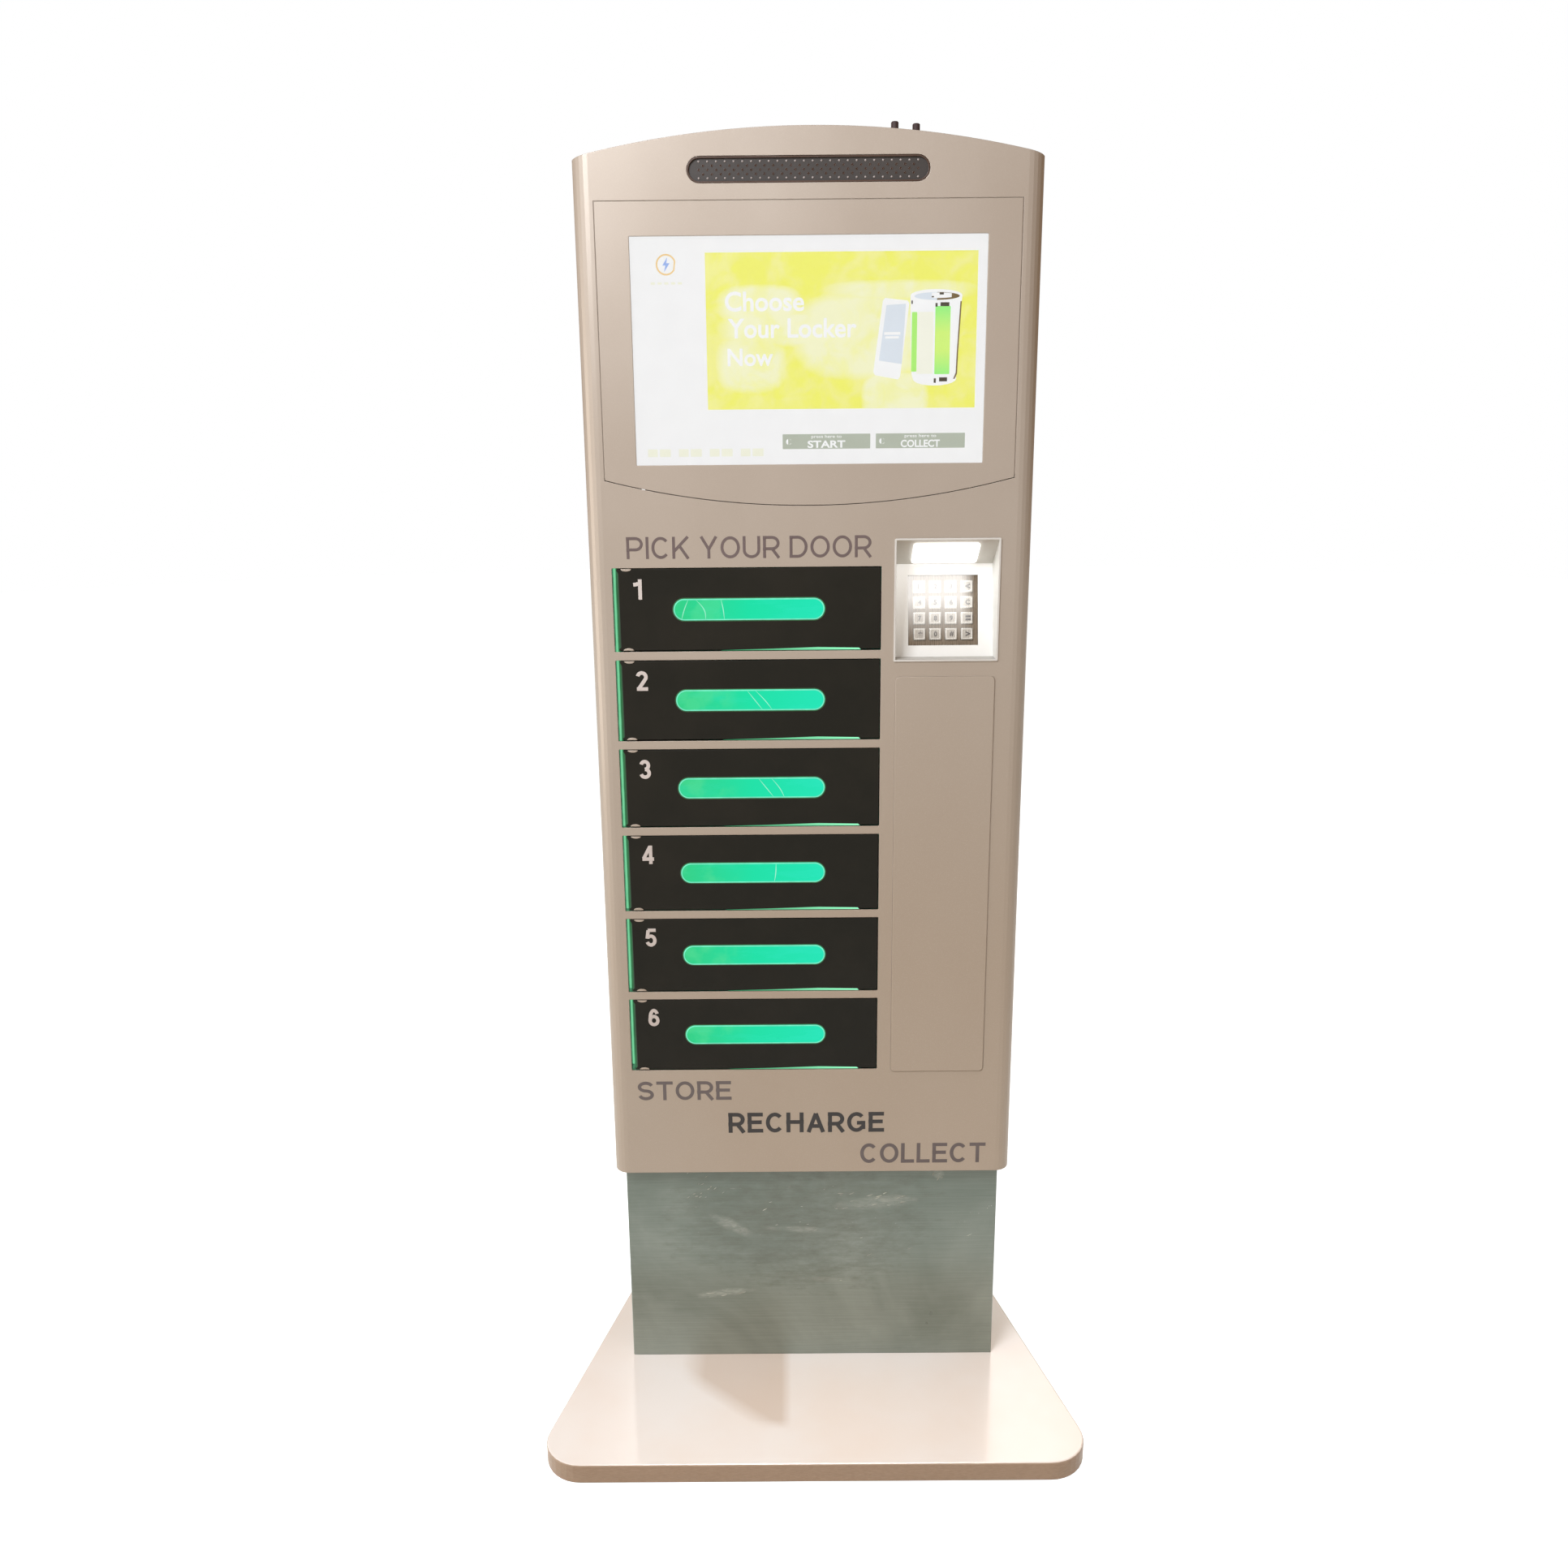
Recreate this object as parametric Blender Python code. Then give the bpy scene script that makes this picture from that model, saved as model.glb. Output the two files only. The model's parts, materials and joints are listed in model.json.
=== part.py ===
# Phone charging kiosk: six locker doors, a screen, a keypad and a speaker in a steel
# cabinet on a short pedestal and a wide base board.
# Metres, +Z up, front towards -Y. The origin is the centre of the base board's underside.

import bpy
import bmesh
from math import atan2, cos, pi, radians, sin, sqrt, tan
from mathutils import Matrix, Vector

# Gaps and sheets
GAP = 0.0003                 # between pieces that touch
SEAM = 0.0008                # round a panel that sits flush
SHEET = 0.002                # cabinet steel
THIN_SHEET = 0.0015          # locker steel
SHAFT_PLAY = 0.0004          # between a rod and its hole
EDGE_BREAK = 0.0006          # chamfer on doors, windows, keys and the cover
SMALL_RADIUS = 0.001         # corners of openings and folded sheets
CASE_RADIUS = 0.002          # corners of bought-in cases

# Base and pedestal
BASE_THICKNESS = 0.027
BASE_OVERHANG = 0.190        # board in front of the cabinet
BASE_LEDGE = 0.004           # board behind the cabinet
BASE_FLARE = 0.1096          # each side, front edge against rear edge
BASE_FRONT_RADIUS = 0.050
BASE_REAR_RADIUS = 0.010
BASE_EDGE = 0.002            # bevel round the board
PEDESTAL_HEIGHT = 0.3015
PEDESTAL_INSET = 0.013       # each side, from the cabinet's side
PEDESTAL_SETBACK = 0.020
PEDESTAL_REAR_INSET = 0.005
PEDESTAL_WALL = 0.003
CABLE_HOLE_RADIUS = 0.020

# Cabinet
BODY_WIDTH = 0.535
BODY_DEPTH = 0.245
BODY_HEIGHT = 1.297
BODY_EDGE_RADIUS = 0.020     # the two front vertical edges
BODY_REAR_RADIUS = 0.004
ARCH_RISE = 0.0313
TOP_FLANGE = 0.015
FLOOR_SHEET = 0.003

# Speaker slot
SPEAKER_WIDTH = 0.2735
SPEAKER_HEIGHT = 0.0283
SPEAKER_BELOW_TOP = 0.0448
GRILLE_LIP = 0.006
SPEAKER_DEPTH = 0.038
CONE_RADIUS = 0.0145
SPEAKER_CASE_RADIUS = 0.003

# Screen and its panel
PANEL_SIDE_MARGIN = 0.0255
PANEL_BELOW_TOP = 0.077
PANEL_SAG = 0.0304
PANEL_THICKNESS = 0.003
SCREEN_SIDE_MARGIN = 0.0634
SCREEN_TOP_BORDER = 0.0366
SCREEN_LOW_BORDER = 0.0168
SCREEN_RATIO = 1.617
GLASS_LIP = 0.008
GLASS_THICKNESS = 0.003
GLASS_RADIUS = 0.003
GLASS_EDGE = 0.0005
MONITOR_FRAME = 0.011
MONITOR_FRAME_DEPTH = 0.012
MONITOR_BACK_DEPTH = 0.026

# Locker doors
DOOR_COUNT = 6
DOORS_BELOW_PANEL = 0.104
DOORS_ABOVE_BOTTOM = 0.1531
DOOR_STRIP = 0.0131          # between one door and the next
DOOR_SIDE_MARGIN = 0.0343
DOOR_DEPTH = 0.012
DOOR_SKIN = 0.002
DOOR_TOP_GAP = 0.001
DOOR_LOW_GAP = 0.0018
DOOR_HINGE_GAP = 0.0053
DOOR_FREE_GAP = 0.001
HINGE_INSET = 0.0152         # from the door's hinged edge
HINGE_SETBACK = 0.008        # behind the door's front
HINGE_ROD_RADIUS = 0.0025
ROD_POINT = 0.00075          # chamfer at a rod's lower end
ROD_HEAD = 0.002             # thickness of a rod's head
WINDOW_SIDE_MARGIN = 0.0675
WINDOW_HEIGHT = 0.0265
WINDOW_LIP = 0.006
WINDOW_PROUD = 0.0006
WINDOW_BACK = 0.002
LOCKER_DEPTH = 0.150
GROMMET_RADIUS = 0.007

# Locks
LOCK_WIDTH = 0.026
LOCK_DEPTH = 0.060
LOCK_HEIGHT = 0.036
LOCK_SETBACK = 0.016
LOCK_MOUTH = 0.012
LOCK_MOUTH_HEIGHT = 0.026
LOCK_MOUTH_DEPTH = 0.022
STRIKER_THICKNESS = 0.003
STRIKER_REACH = 0.030
STRIKER_HEIGHT = 0.020
STRIKER_LOOP = 0.008

# Light strip behind the hinged edges
STRIP_WIDTH = 0.0036
STRIP_DEPTH = 0.010
STRIP_SETBACK = 0.024

# Keypad
KEYPAD_WIDTH = 0.1275
KEYPAD_HEIGHT = 0.1484
KEYPAD_SIDE_MARGIN = 0.0382
KEYPAD_DOOR_GAP = 0.0164
KEYPAD_ABOVE_DOORS = 0.0336
KEYPAD_RIM = 0.0022
KEYPAD_PROUD = 0.0015
KEYPAD_WALL = 0.003
KEYPAD_TOP_DEPTH = 0.048
KEYPAD_LOW_DEPTH = 0.024
KEYPAD_HOOD_DROP = 0.032
KEYPAD_RADIUS = 0.0015
LAMP_WIDTH = 0.080
LAMP_LENGTH = 0.044
LAMP_THICKNESS = 0.003
LAMP_RADIUS = 0.004
PLATE_BORDER = 0.00635       # round the outer keys
PLATE_THICKNESS = 0.003
PLATE_SETBACK = 0.0015
KEY_ROWS = 4
KEY_PITCH = 0.0196
KEY_SIZE = 0.0145
KEY_PLAY = 0.0003
KEY_PROUD = 0.0025
KEY_FLANGE = 0.0015
KEY_TRAVEL = 0.0015

# Blank cover under the keypad
COVER_SIDE_INSET = 0.0026    # narrower than the keypad, each side
COVER_BELOW_KEYPAD = 0.0188
COVER_BELOW_DOORS = 0.0052
COVER_PROUD = 0.0015
COVER_RADIUS = 0.005
COVER_TRAY = 0.008
COVER_LIP = 0.007

# Rear door
REAR_SIDE_MARGIN = 0.042
REAR_LOW_MARGIN = 0.115
REAR_TOP_MARGIN = 0.090
REAR_GAP = 0.0015
REAR_HINGE_INSET = 0.014
REAR_HINGE_GAP = 0.006
REAR_LIP_DEPTH = 0.016
LOUVRE_ROWS = 6
LOUVRE_WIDTH = 0.110
LOUVRE_HEIGHT = 0.005
LOUVRE_PITCH = 0.016
LOUVRE_SPACING = 0.165       # between the two columns
LOUVRE_BELOW_TOP = 0.080
CAM_INSET = 0.024
CAM_BARREL_RADIUS = 0.009
CAM_HEAD_RADIUS = 0.012
CAM_HEAD = 0.003             # how far the head stands off the door
CAM_LENGTH = 0.036
CAM_WIDTH = 0.012
CAM_RADIUS = 0.003
CAM_THICKNESS = 0.003
CAM_PLAY = 0.0015            # behind the frame's lip
CAM_SLIT = (0.0012, 0.008)   # for a key, wide and high

# Electronics
CONTROLLER_SIZE = (0.200, 0.034, 0.130)
SUPPLY_SIZE = (0.199, 0.040, 0.098)
BAY_CLEARANCE = 0.003
LID_INSET = 0.006
LID_SHARE = 8                # the lid is this part of the case's depth
INLET_ABOVE_BOTTOM = 0.055
INLET_FROM_SIDE = 0.110
INLET_BODY = (0.050, 0.030, 0.028)
INLET_FLANGE = (0.066, 0.002, 0.034)
SOCKET_SIZE = (0.022, 0.016, 0.016)
PIN_PITCH = 0.007
PIN_LIFT = 0.002             # outer pins down, middle pin up
PIN_SIZE = (0.002, 0.018, 0.004)
SWITCH_SIZE = (0.013, 0.019)
SWITCH_DEPTH = 0.010
ROCKER_RISE = 0.0016         # pressed end against raised end
ROCKER_WAIST = 0.003
AERIAL_HEIGHT = 0.035
AERIAL_RADIUS = 0.0045
AERIAL_NUT_RADIUS = 0.0055
AERIAL_NUT_HEIGHT = 0.004
AERIAL_FROM_CENTRE = 0.106
AERIAL_SPACING = 0.0257
AERIAL_SETBACK = 0.125

# Places that follow from the sizes
BASE_DEPTH = BASE_OVERHANG + BODY_DEPTH + BASE_LEDGE
FACE = -BASE_DEPTH / 2 + BASE_OVERHANG
BACK = FACE + BODY_DEPTH
SIDE = BODY_WIDTH / 2
BODY_BOTTOM = BASE_THICKNESS + PEDESTAL_HEIGHT
BODY_TOP = BODY_BOTTOM + BODY_HEIGHT
ARCH_RADIUS = (SIDE ** 2 + ARCH_RISE ** 2) / (2 * ARCH_RISE)
ARCH_CENTRE = BODY_TOP - ARCH_RADIUS
PEDESTAL_SIDE = SIDE - PEDESTAL_INSET

SCREEN_WIDTH = BODY_WIDTH - 2 * SCREEN_SIDE_MARGIN
SCREEN_HEIGHT = SCREEN_WIDTH / SCREEN_RATIO
PANEL_TOP = BODY_TOP - PANEL_BELOW_TOP
SCREEN_CENTRE = PANEL_TOP - SCREEN_TOP_BORDER - SCREEN_HEIGHT / 2
PANEL_LOW = SCREEN_CENTRE - SCREEN_HEIGHT / 2 - SCREEN_LOW_BORDER
PANEL_SIDE = SIDE - PANEL_SIDE_MARGIN

KEYPAD_RIGHT = SIDE - KEYPAD_SIDE_MARGIN
KEYPAD_LEFT = KEYPAD_RIGHT - KEYPAD_WIDTH
KEYPAD_MIDDLE = (KEYPAD_LEFT + KEYPAD_RIGHT) / 2
DOOR_LEFT = -SIDE + DOOR_SIDE_MARGIN
DOOR_RIGHT = KEYPAD_LEFT - KEYPAD_DOOR_GAP
DOOR_MIDDLE = (DOOR_LEFT + DOOR_RIGHT) / 2
DOORS_TOP = PANEL_LOW - DOORS_BELOW_PANEL
DOORS_LOW = BODY_BOTTOM + DOORS_ABOVE_BOTTOM
DOOR_PITCH = (DOORS_TOP - DOORS_LOW + DOOR_STRIP) / DOOR_COUNT
DOOR_HEIGHT = DOOR_PITCH - DOOR_STRIP
HINGE_X = DOOR_LEFT + HINGE_INSET
HINGE_Y = FACE + HINGE_SETBACK
WINDOW_WIDTH = DOOR_RIGHT - DOOR_LEFT - 2 * WINDOW_SIDE_MARGIN
BANK_LEFT = DOOR_LEFT - DOOR_HINGE_GAP - THIN_SHEET
BANK_RIGHT = DOOR_RIGHT + DOOR_FREE_GAP + THIN_SHEET / 2
BANK_FRONT = FACE + SHEET + GAP
BANK_BACK = BANK_FRONT + LOCKER_DEPTH
LOCK_RIGHT = BANK_RIGHT - GAP
LOCK_LEFT = LOCK_RIGHT - LOCK_WIDTH
LOCK_MIDDLE = (LOCK_LEFT + LOCK_RIGHT) / 2

PLATE_SIZE = (KEY_ROWS - 1) * KEY_PITCH + KEY_SIZE + 2 * PLATE_BORDER
KEYPAD_TOP = DOORS_TOP + KEYPAD_ABOVE_DOORS
KEYPAD_LOW = KEYPAD_TOP - KEYPAD_HEIGHT
RECESS_LOW = KEYPAD_LOW + KEYPAD_RIM
RECESS_TOP = KEYPAD_TOP - KEYPAD_RIM
HOOD_BACK = RECESS_TOP - KEYPAD_HOOD_DROP
PANEL_TILT = atan2(KEYPAD_TOP_DEPTH - KEYPAD_LOW_DEPTH, HOOD_BACK - RECESS_LOW)
PLATE_CENTRE = Vector((
    KEYPAD_MIDDLE,
    FACE + (KEYPAD_TOP_DEPTH + KEYPAD_LOW_DEPTH) / 2,
    (HOOD_BACK + RECESS_LOW) / 2,
))
PLATE_TURN = Matrix.Translation(PLATE_CENTRE) @ Matrix.Rotation(-PANEL_TILT, 4, "X")

REAR_LEFT = -SIDE + REAR_SIDE_MARGIN
REAR_RIGHT = SIDE - REAR_SIDE_MARGIN
REAR_LOW = BODY_BOTTOM + REAR_LOW_MARGIN
REAR_TOP = BODY_TOP - ARCH_RISE - REAR_TOP_MARGIN
REAR_HINGE_X = REAR_LEFT + REAR_HINGE_GAP + REAR_HINGE_INSET
REAR_HINGE_Y = BACK - HINGE_SETBACK
CAM_X = REAR_RIGHT - REAR_GAP - CAM_INSET
CAM_Z = (REAR_LOW + REAR_TOP) / 2
BAY_FRONT = BANK_BACK + BAY_CLEARANCE

FINISHES = {
    "champagne_paint": ((0.52, 0.43, 0.34), 0.38, 0.45),
    "film_steel": ((0.22, 0.25, 0.20), 0.45, 0.60),
    "cream_laminate": ((0.80, 0.74, 0.68), 0.40, 0.0),
    "black_paint": ((0.020, 0.020, 0.018), 0.40, 0.0),
    "green_acrylic": ((0.02, 0.75, 0.30), 0.15, 0.0),
    "screen_glass": ((0.85, 0.87, 0.85), 0.08, 0.0),
    "black_plastic": ((0.025, 0.025, 0.025), 0.50, 0.0),
    "silver_moulding": ((0.72, 0.71, 0.68), 0.45, 0.0),
    "lamp_lens": ((0.95, 0.95, 0.95), 0.30, 0.0),
    "pad_plate": ((0.16, 0.14, 0.11), 0.45, 0.70),
    "key_metal": ((0.70, 0.70, 0.66), 0.30, 0.90),
    "zinc_steel": ((0.55, 0.56, 0.57), 0.40, 0.85),
    "supply_case": ((0.60, 0.61, 0.62), 0.45, 0.80),
    "green_light": ((0.05, 0.85, 0.35), 0.40, 0.0),
    "dark_rubber": ((0.050, 0.025, 0.022), 0.60, 0.0),
}


# Materials and scene

def material(finish):
    found = bpy.data.materials.get(finish)
    if found:
        return found
    colour, roughness, metallic = FINISHES[finish]
    made = bpy.data.materials.new(finish)
    made.use_nodes = True
    shader = made.node_tree.nodes["Principled BSDF"]
    shader.inputs["Base Color"].default_value = (*colour, 1.0)
    shader.inputs["Roughness"].default_value = roughness
    shader.inputs["Metallic"].default_value = metallic
    made.diffuse_color = (*colour, 1.0)
    return made


def part(name, shape, finish):
    """A named object from a bmesh, with its material."""
    mesh = bpy.data.meshes.new(name)
    shape.to_mesh(mesh)
    shape.free()
    mesh.materials.append(material(finish))
    made = bpy.data.objects.new(name, mesh)
    bpy.context.collection.objects.link(made)
    return made


def smooth(obj, degrees=35):
    obj.data.shade_smooth()
    obj.data.set_sharp_from_angle(angle=radians(degrees))


# Outlines, as lists of (u, v)

def arc(centre, radius, start, end, steps):
    """Points on an arc, angles in degrees."""
    angles = [radians(start + (end - start) * i / steps) for i in range(steps + 1)]
    return [(centre[0] + radius * cos(a), centre[1] + radius * sin(a)) for a in angles]


def rounded(corners, radii, steps=4):
    """A counter-clockwise polygon with each corner replaced by an arc of its radius."""
    outline = []
    count = len(corners)
    for i, radius in enumerate(radii):
        here = Vector(corners[i])
        if not radius:
            outline.append(tuple(here))
            continue
        before = (Vector(corners[i - 1]) - here).normalized()
        after = (Vector(corners[(i + 1) % count]) - here).normalized()
        half = before.angle(after) / 2
        centre = here + (before + after).normalized() * (radius / sin(half))
        first = here + before * (radius / tan(half)) - centre
        last = here + after * (radius / tan(half)) - centre
        start = atan2(first.y, first.x)
        turn = (atan2(last.y, last.x) - start) % (2 * pi)
        for k in range(steps + 1):
            angle = start + turn * k / steps
            outline.append((centre.x + radius * cos(angle), centre.y + radius * sin(angle)))
    return outline


def rectangle(low, high, radius=0.0, steps=4):
    corners = [(low[0], low[1]), (high[0], low[1]), (high[0], high[1]), (low[0], high[1])]
    return rounded(corners, [radius] * 4, steps)


def stadium(centre, width, height, steps=10):
    radius = height / 2
    reach = width / 2 - radius
    right = arc((centre[0] + reach, centre[1]), radius, -90, 90, steps)
    left = arc((centre[0] - reach, centre[1]), radius, 90, 270, steps)
    return right + left


def circle(centre, radius, steps=24):
    return arc(centre, radius, 0, 360 - 360 / steps, steps - 1)


# Solids, as bmeshes

def along(u, v, w, axis):
    """The outline's (u, v) at the distance w along the axis."""
    return {"X": (w, u, v), "Y": (u, w, v), "Z": (u, v, w)}[axis]


def loft(rings):
    """A closed solid through rings of equally many points, with flat ends."""
    shape = bmesh.new()
    loops = [[shape.verts.new(p) for p in ring] for ring in rings]
    for first, second in zip(loops, loops[1:]):
        for i, corner in enumerate(first):
            j = (i + 1) % len(first)
            shape.faces.new((corner, first[j], second[j], second[i]))
    shape.faces.new(loops[0])
    shape.faces.new(loops[-1])
    bmesh.ops.recalc_face_normals(shape, faces=shape.faces)
    return shape


def prism(outline, start, end, axis):
    return loft([[along(u, v, w, axis) for u, v in outline] for w in (start, end)])


def stepped(outlines, axis):
    """A solid through (outline, distance) pairs along the axis."""
    return loft([[along(u, v, w, axis) for u, v in outline] for outline, w in outlines])


def turned(centre, profile, axis, steps=24):
    """A round solid from (radius, distance) pairs along the axis through the centre."""
    return stepped([(circle(centre, radius, steps), w) for radius, w in profile], axis)


def block(low, high):
    return prism(rectangle(low[:2], high[:2]), low[2], high[2], "Z")


def merged(shapes):
    """Several separate solids in one bmesh."""
    whole = bmesh.new()
    for shape in shapes:
        mesh = bpy.data.meshes.new("piece")
        shape.to_mesh(mesh)
        shape.free()
        whole.from_mesh(mesh)
        bpy.data.meshes.remove(mesh)
    return whole


def boolean(obj, operation, shapes):
    """Cuts or joins the solids, and bakes the result into the object's mesh."""
    tool = part(obj.name + "_tool", merged(shapes), "zinc_steel")
    tool.hide_render = True
    tool.display_type = "WIRE"
    step = obj.modifiers.new(operation.lower(), "BOOLEAN")
    step.operation = operation
    step.solver = "EXACT"
    step.object = tool
    graph = bpy.context.evaluated_depsgraph_get()
    result = bpy.data.meshes.new_from_object(obj.evaluated_get(graph))
    obj.modifiers.remove(step)
    old = obj.data
    name = old.name
    obj.data = result
    bpy.data.meshes.remove(old)
    result.name = name
    bpy.data.objects.remove(tool)


def cut(obj, *shapes):
    boolean(obj, "DIFFERENCE", shapes)


def join(obj, *shapes):
    boolean(obj, "UNION", shapes)


def soften(obj, width, steps=2, degrees=40):
    """A small bevel on every edge sharper than the angle."""
    bevel = obj.modifiers.new("bevel", "BEVEL")
    bevel.width = width
    bevel.segments = steps
    bevel.limit_method = "ANGLE"
    bevel.angle_limit = radians(degrees)
    bevel.use_clamp_overlap = True


def turn_shape(shape, matrix):
    bmesh.ops.transform(shape, matrix=matrix, verts=shape.verts)
    return shape


def set_origin(obj, point):
    """Moves the object's origin to a point of its joint axis, leaving its shape in place."""
    obj.data.transform(Matrix.Translation(-Vector(point)))
    obj.location = point


def copy_at(obj, name, offset):
    """Another object with the same mesh, moved by the offset."""
    made = bpy.data.objects.new(name, obj.data)
    made.location = obj.location + Vector(offset)
    made.rotation_euler = obj.rotation_euler
    for old in obj.modifiers:
        new = made.modifiers.new(old.name, old.type)
        new.width = old.width
        new.segments = old.segments
        new.limit_method = old.limit_method
        new.angle_limit = old.angle_limit
    bpy.context.collection.objects.link(made)
    return made


# Base and pedestal

def base_plate():
    rear = PEDESTAL_SIDE
    front = rear + BASE_FLARE
    low = -BASE_DEPTH / 2
    high = BASE_DEPTH / 2
    corners = [(-front, low), (front, low), (rear, high), (-rear, high)]
    radii = [BASE_FRONT_RADIUS, BASE_FRONT_RADIUS, BASE_REAR_RADIUS, BASE_REAR_RADIUS]
    board = part("base_plate", prism(rounded(corners, radii, 10), 0, BASE_THICKNESS, "Z"),
                 "cream_laminate")
    soften(board, BASE_EDGE)
    smooth(board)


def pedestal_column():
    front = FACE + PEDESTAL_SETBACK
    back = BACK - PEDESTAL_REAR_INSET
    low = BASE_THICKNESS + GAP
    high = BODY_BOTTOM - GAP
    wall = PEDESTAL_WALL
    column = part("pedestal_column",
                  prism(rectangle((-PEDESTAL_SIDE, front), (PEDESTAL_SIDE, back), wall / 2),
                        low, high, "Z"), "film_steel")
    inside = block((-PEDESTAL_SIDE + wall, front + wall, low - wall),
                   (PEDESTAL_SIDE - wall, back - wall, high + wall))
    hole = prism(circle((0, BASE_THICKNESS + 3 * CABLE_HOLE_RADIUS), CABLE_HOLE_RADIUS),
                 back - 2 * wall, back + wall, "Y")
    cut(column, inside, hole)
    smooth(column)


# Cabinet

def body_outline(inset):
    """The cabinet in plan, drawn in by the inset."""
    front = BODY_EDGE_RADIUS - inset
    rear = max(BODY_REAR_RADIUS - inset, SMALL_RADIUS)
    low = (-SIDE + inset, FACE + inset)
    high = (SIDE - inset, BACK - inset)
    corners = [low, (high[0], low[1]), high, (low[0], high[1])]
    return rounded(corners, [front, front, rear, rear], 6)


def arch(side, radius, steps=32):
    """Points of the cabinet's arched top from right to left."""
    half = chord_angle(side, radius)
    return arc((0, ARCH_CENTRE), radius, 90 - half, 90 + half, steps)


def chord_angle(side, radius):
    """The angle in degrees whose chord reaches this far to each side."""
    return atan2(side, sqrt(radius ** 2 - side ** 2)) * 180 / pi


def panel_outline(grow):
    """The screen panel: straight top and sides, and a lower edge that is an arc."""
    side = PANEL_SIDE
    radius = (side ** 2 + PANEL_SAG ** 2) / (2 * PANEL_SAG)
    centre = (0, PANEL_LOW - PANEL_SAG + radius)
    half = chord_angle(side + grow, radius + grow)
    lower = arc(centre, radius + grow, 270 - half, 270 + half, 32)
    top = PANEL_TOP + grow
    return lower + [(side + grow, top), (-side - grow, top)]


def door_low(index):
    """The lower edge of a door, counted from 0 at the top."""
    return DOORS_TOP - index * DOOR_PITCH - DOOR_HEIGHT


def door_opening(index):
    low = door_low(index)
    return rectangle((DOOR_LEFT - DOOR_HINGE_GAP, low - DOOR_LOW_GAP),
                     (DOOR_RIGHT + DOOR_FREE_GAP, low + DOOR_HEIGHT + DOOR_TOP_GAP),
                     SMALL_RADIUS, 2)


def cover_outline(inset, radius):
    low = (KEYPAD_LEFT + COVER_SIDE_INSET + inset, DOORS_LOW - COVER_BELOW_DOORS + inset)
    high = (KEYPAD_RIGHT - COVER_SIDE_INSET - inset, KEYPAD_LOW - COVER_BELOW_KEYPAD - inset)
    return rectangle(low, high, radius)


def front_cuts():
    """Every opening in the cabinet's front."""
    start = FACE - SHEET
    end = FACE + 2 * SHEET
    speaker = (0, BODY_TOP - SPEAKER_BELOW_TOP)
    edge = KEYPAD_RIM / 2
    outlines = [door_opening(i) for i in range(DOOR_COUNT)]
    outlines.append(panel_outline(SEAM))
    outlines.append(stadium(speaker, SPEAKER_WIDTH, SPEAKER_HEIGHT))
    outlines.append(rectangle((KEYPAD_LEFT + edge, KEYPAD_LOW + edge),
                              (KEYPAD_RIGHT - edge, KEYPAD_TOP - edge)))
    outlines.append(cover_outline(COVER_LIP, COVER_RADIUS))
    return [prism(outline, start, end, "Y") for outline in outlines]


def inlet_place():
    return SIDE - INLET_FROM_SIDE, BODY_BOTTOM + INLET_ABOVE_BOTTOM


def rear_cuts():
    start = BACK - 2 * SHEET
    end = BACK + SHEET
    x, z = inlet_place()
    half = (INLET_BODY[0] / 2 + GAP, INLET_BODY[2] / 2 + GAP)
    door = rectangle((REAR_LEFT, REAR_LOW), (REAR_RIGHT, REAR_TOP))
    inlet = rectangle((x - half[0], z - half[1]), (x + half[0], z + half[1]))
    return [prism(outline, start, end, "Y") for outline in (door, inlet)]


def cabinet_shell():
    shell = part("cabinet_shell", prism(body_outline(0), BODY_BOTTOM, BODY_TOP, "Z"),
                 "champagne_paint")
    over = 2 * SHEET
    cut(shell, prism(body_outline(SHEET), BODY_BOTTOM - over, BODY_TOP + over, "Z"))
    lips = []
    for z in (REAR_LOW - THIN_SHEET, REAR_TOP):
        lips.append(block((REAR_LEFT, BACK - REAR_LIP_DEPTH, z - SHEET / 4),
                          (REAR_RIGHT, BACK - SHEET / 2, z + THIN_SHEET + SHEET / 4)))
    join(shell, *lips)
    join(shell, block((REAR_RIGHT - SHEET / 4, BACK - REAR_LIP_DEPTH, REAR_LOW - THIN_SHEET),
                      (REAR_RIGHT + THIN_SHEET, BACK - SHEET / 2, REAR_TOP + THIN_SHEET)))
    wide = SIDE + BODY_EDGE_RADIUS
    above = arch(wide, ARCH_RADIUS, 40)
    sky = above + [(-wide, BODY_TOP + over), (wide, BODY_TOP + over)]
    cut(shell, prism(sky, FACE - over, BACK + over, "Y"))
    cut(shell, *front_cuts(), *rear_cuts())
    play = HINGE_ROD_RADIUS + SHAFT_PLAY
    cut(shell, prism(circle((REAR_HINGE_X, REAR_HINGE_Y), play),
                     REAR_LOW - BODY_EDGE_RADIUS, REAR_TOP + BODY_EDGE_RADIUS, "Z"))
    smooth(shell)


def top_cover():
    """An arched sheet between the cabinet's walls, with a flange down each side."""
    side = SIDE - SHEET - GAP
    inner = side - SHEET
    upper = arch(side, ARCH_RADIUS)
    lower = arch(inner, ARCH_RADIUS - SHEET)
    drop = upper[0][1] - TOP_FLANGE
    outline = upper + [(-side, drop), (-inner, drop)] + lower[::-1] + [(inner, drop), (side, drop)]
    cover = part("top_cover", prism(outline, FACE, BACK, "Y"), "champagne_paint")
    plan = prism(body_outline(SHEET + GAP), BODY_BOTTOM, BODY_TOP + SHEET, "Z")
    boolean(cover, "INTERSECT", [plan])
    smooth(cover)


def bottom_plate():
    plate = part("bottom_plate",
                 prism(body_outline(SHEET + GAP), BODY_BOTTOM, BODY_BOTTOM + FLOOR_SHEET, "Z"),
                 "champagne_paint")
    middle = (0, (FACE + BACK) / 2)
    cut(plate, prism(circle(middle, 2 * CABLE_HOLE_RADIUS), BODY_BOTTOM - FLOOR_SHEET,
                     BODY_BOTTOM + 2 * FLOOR_SHEET, "Z"))
    smooth(plate)


# Screen and speaker

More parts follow.
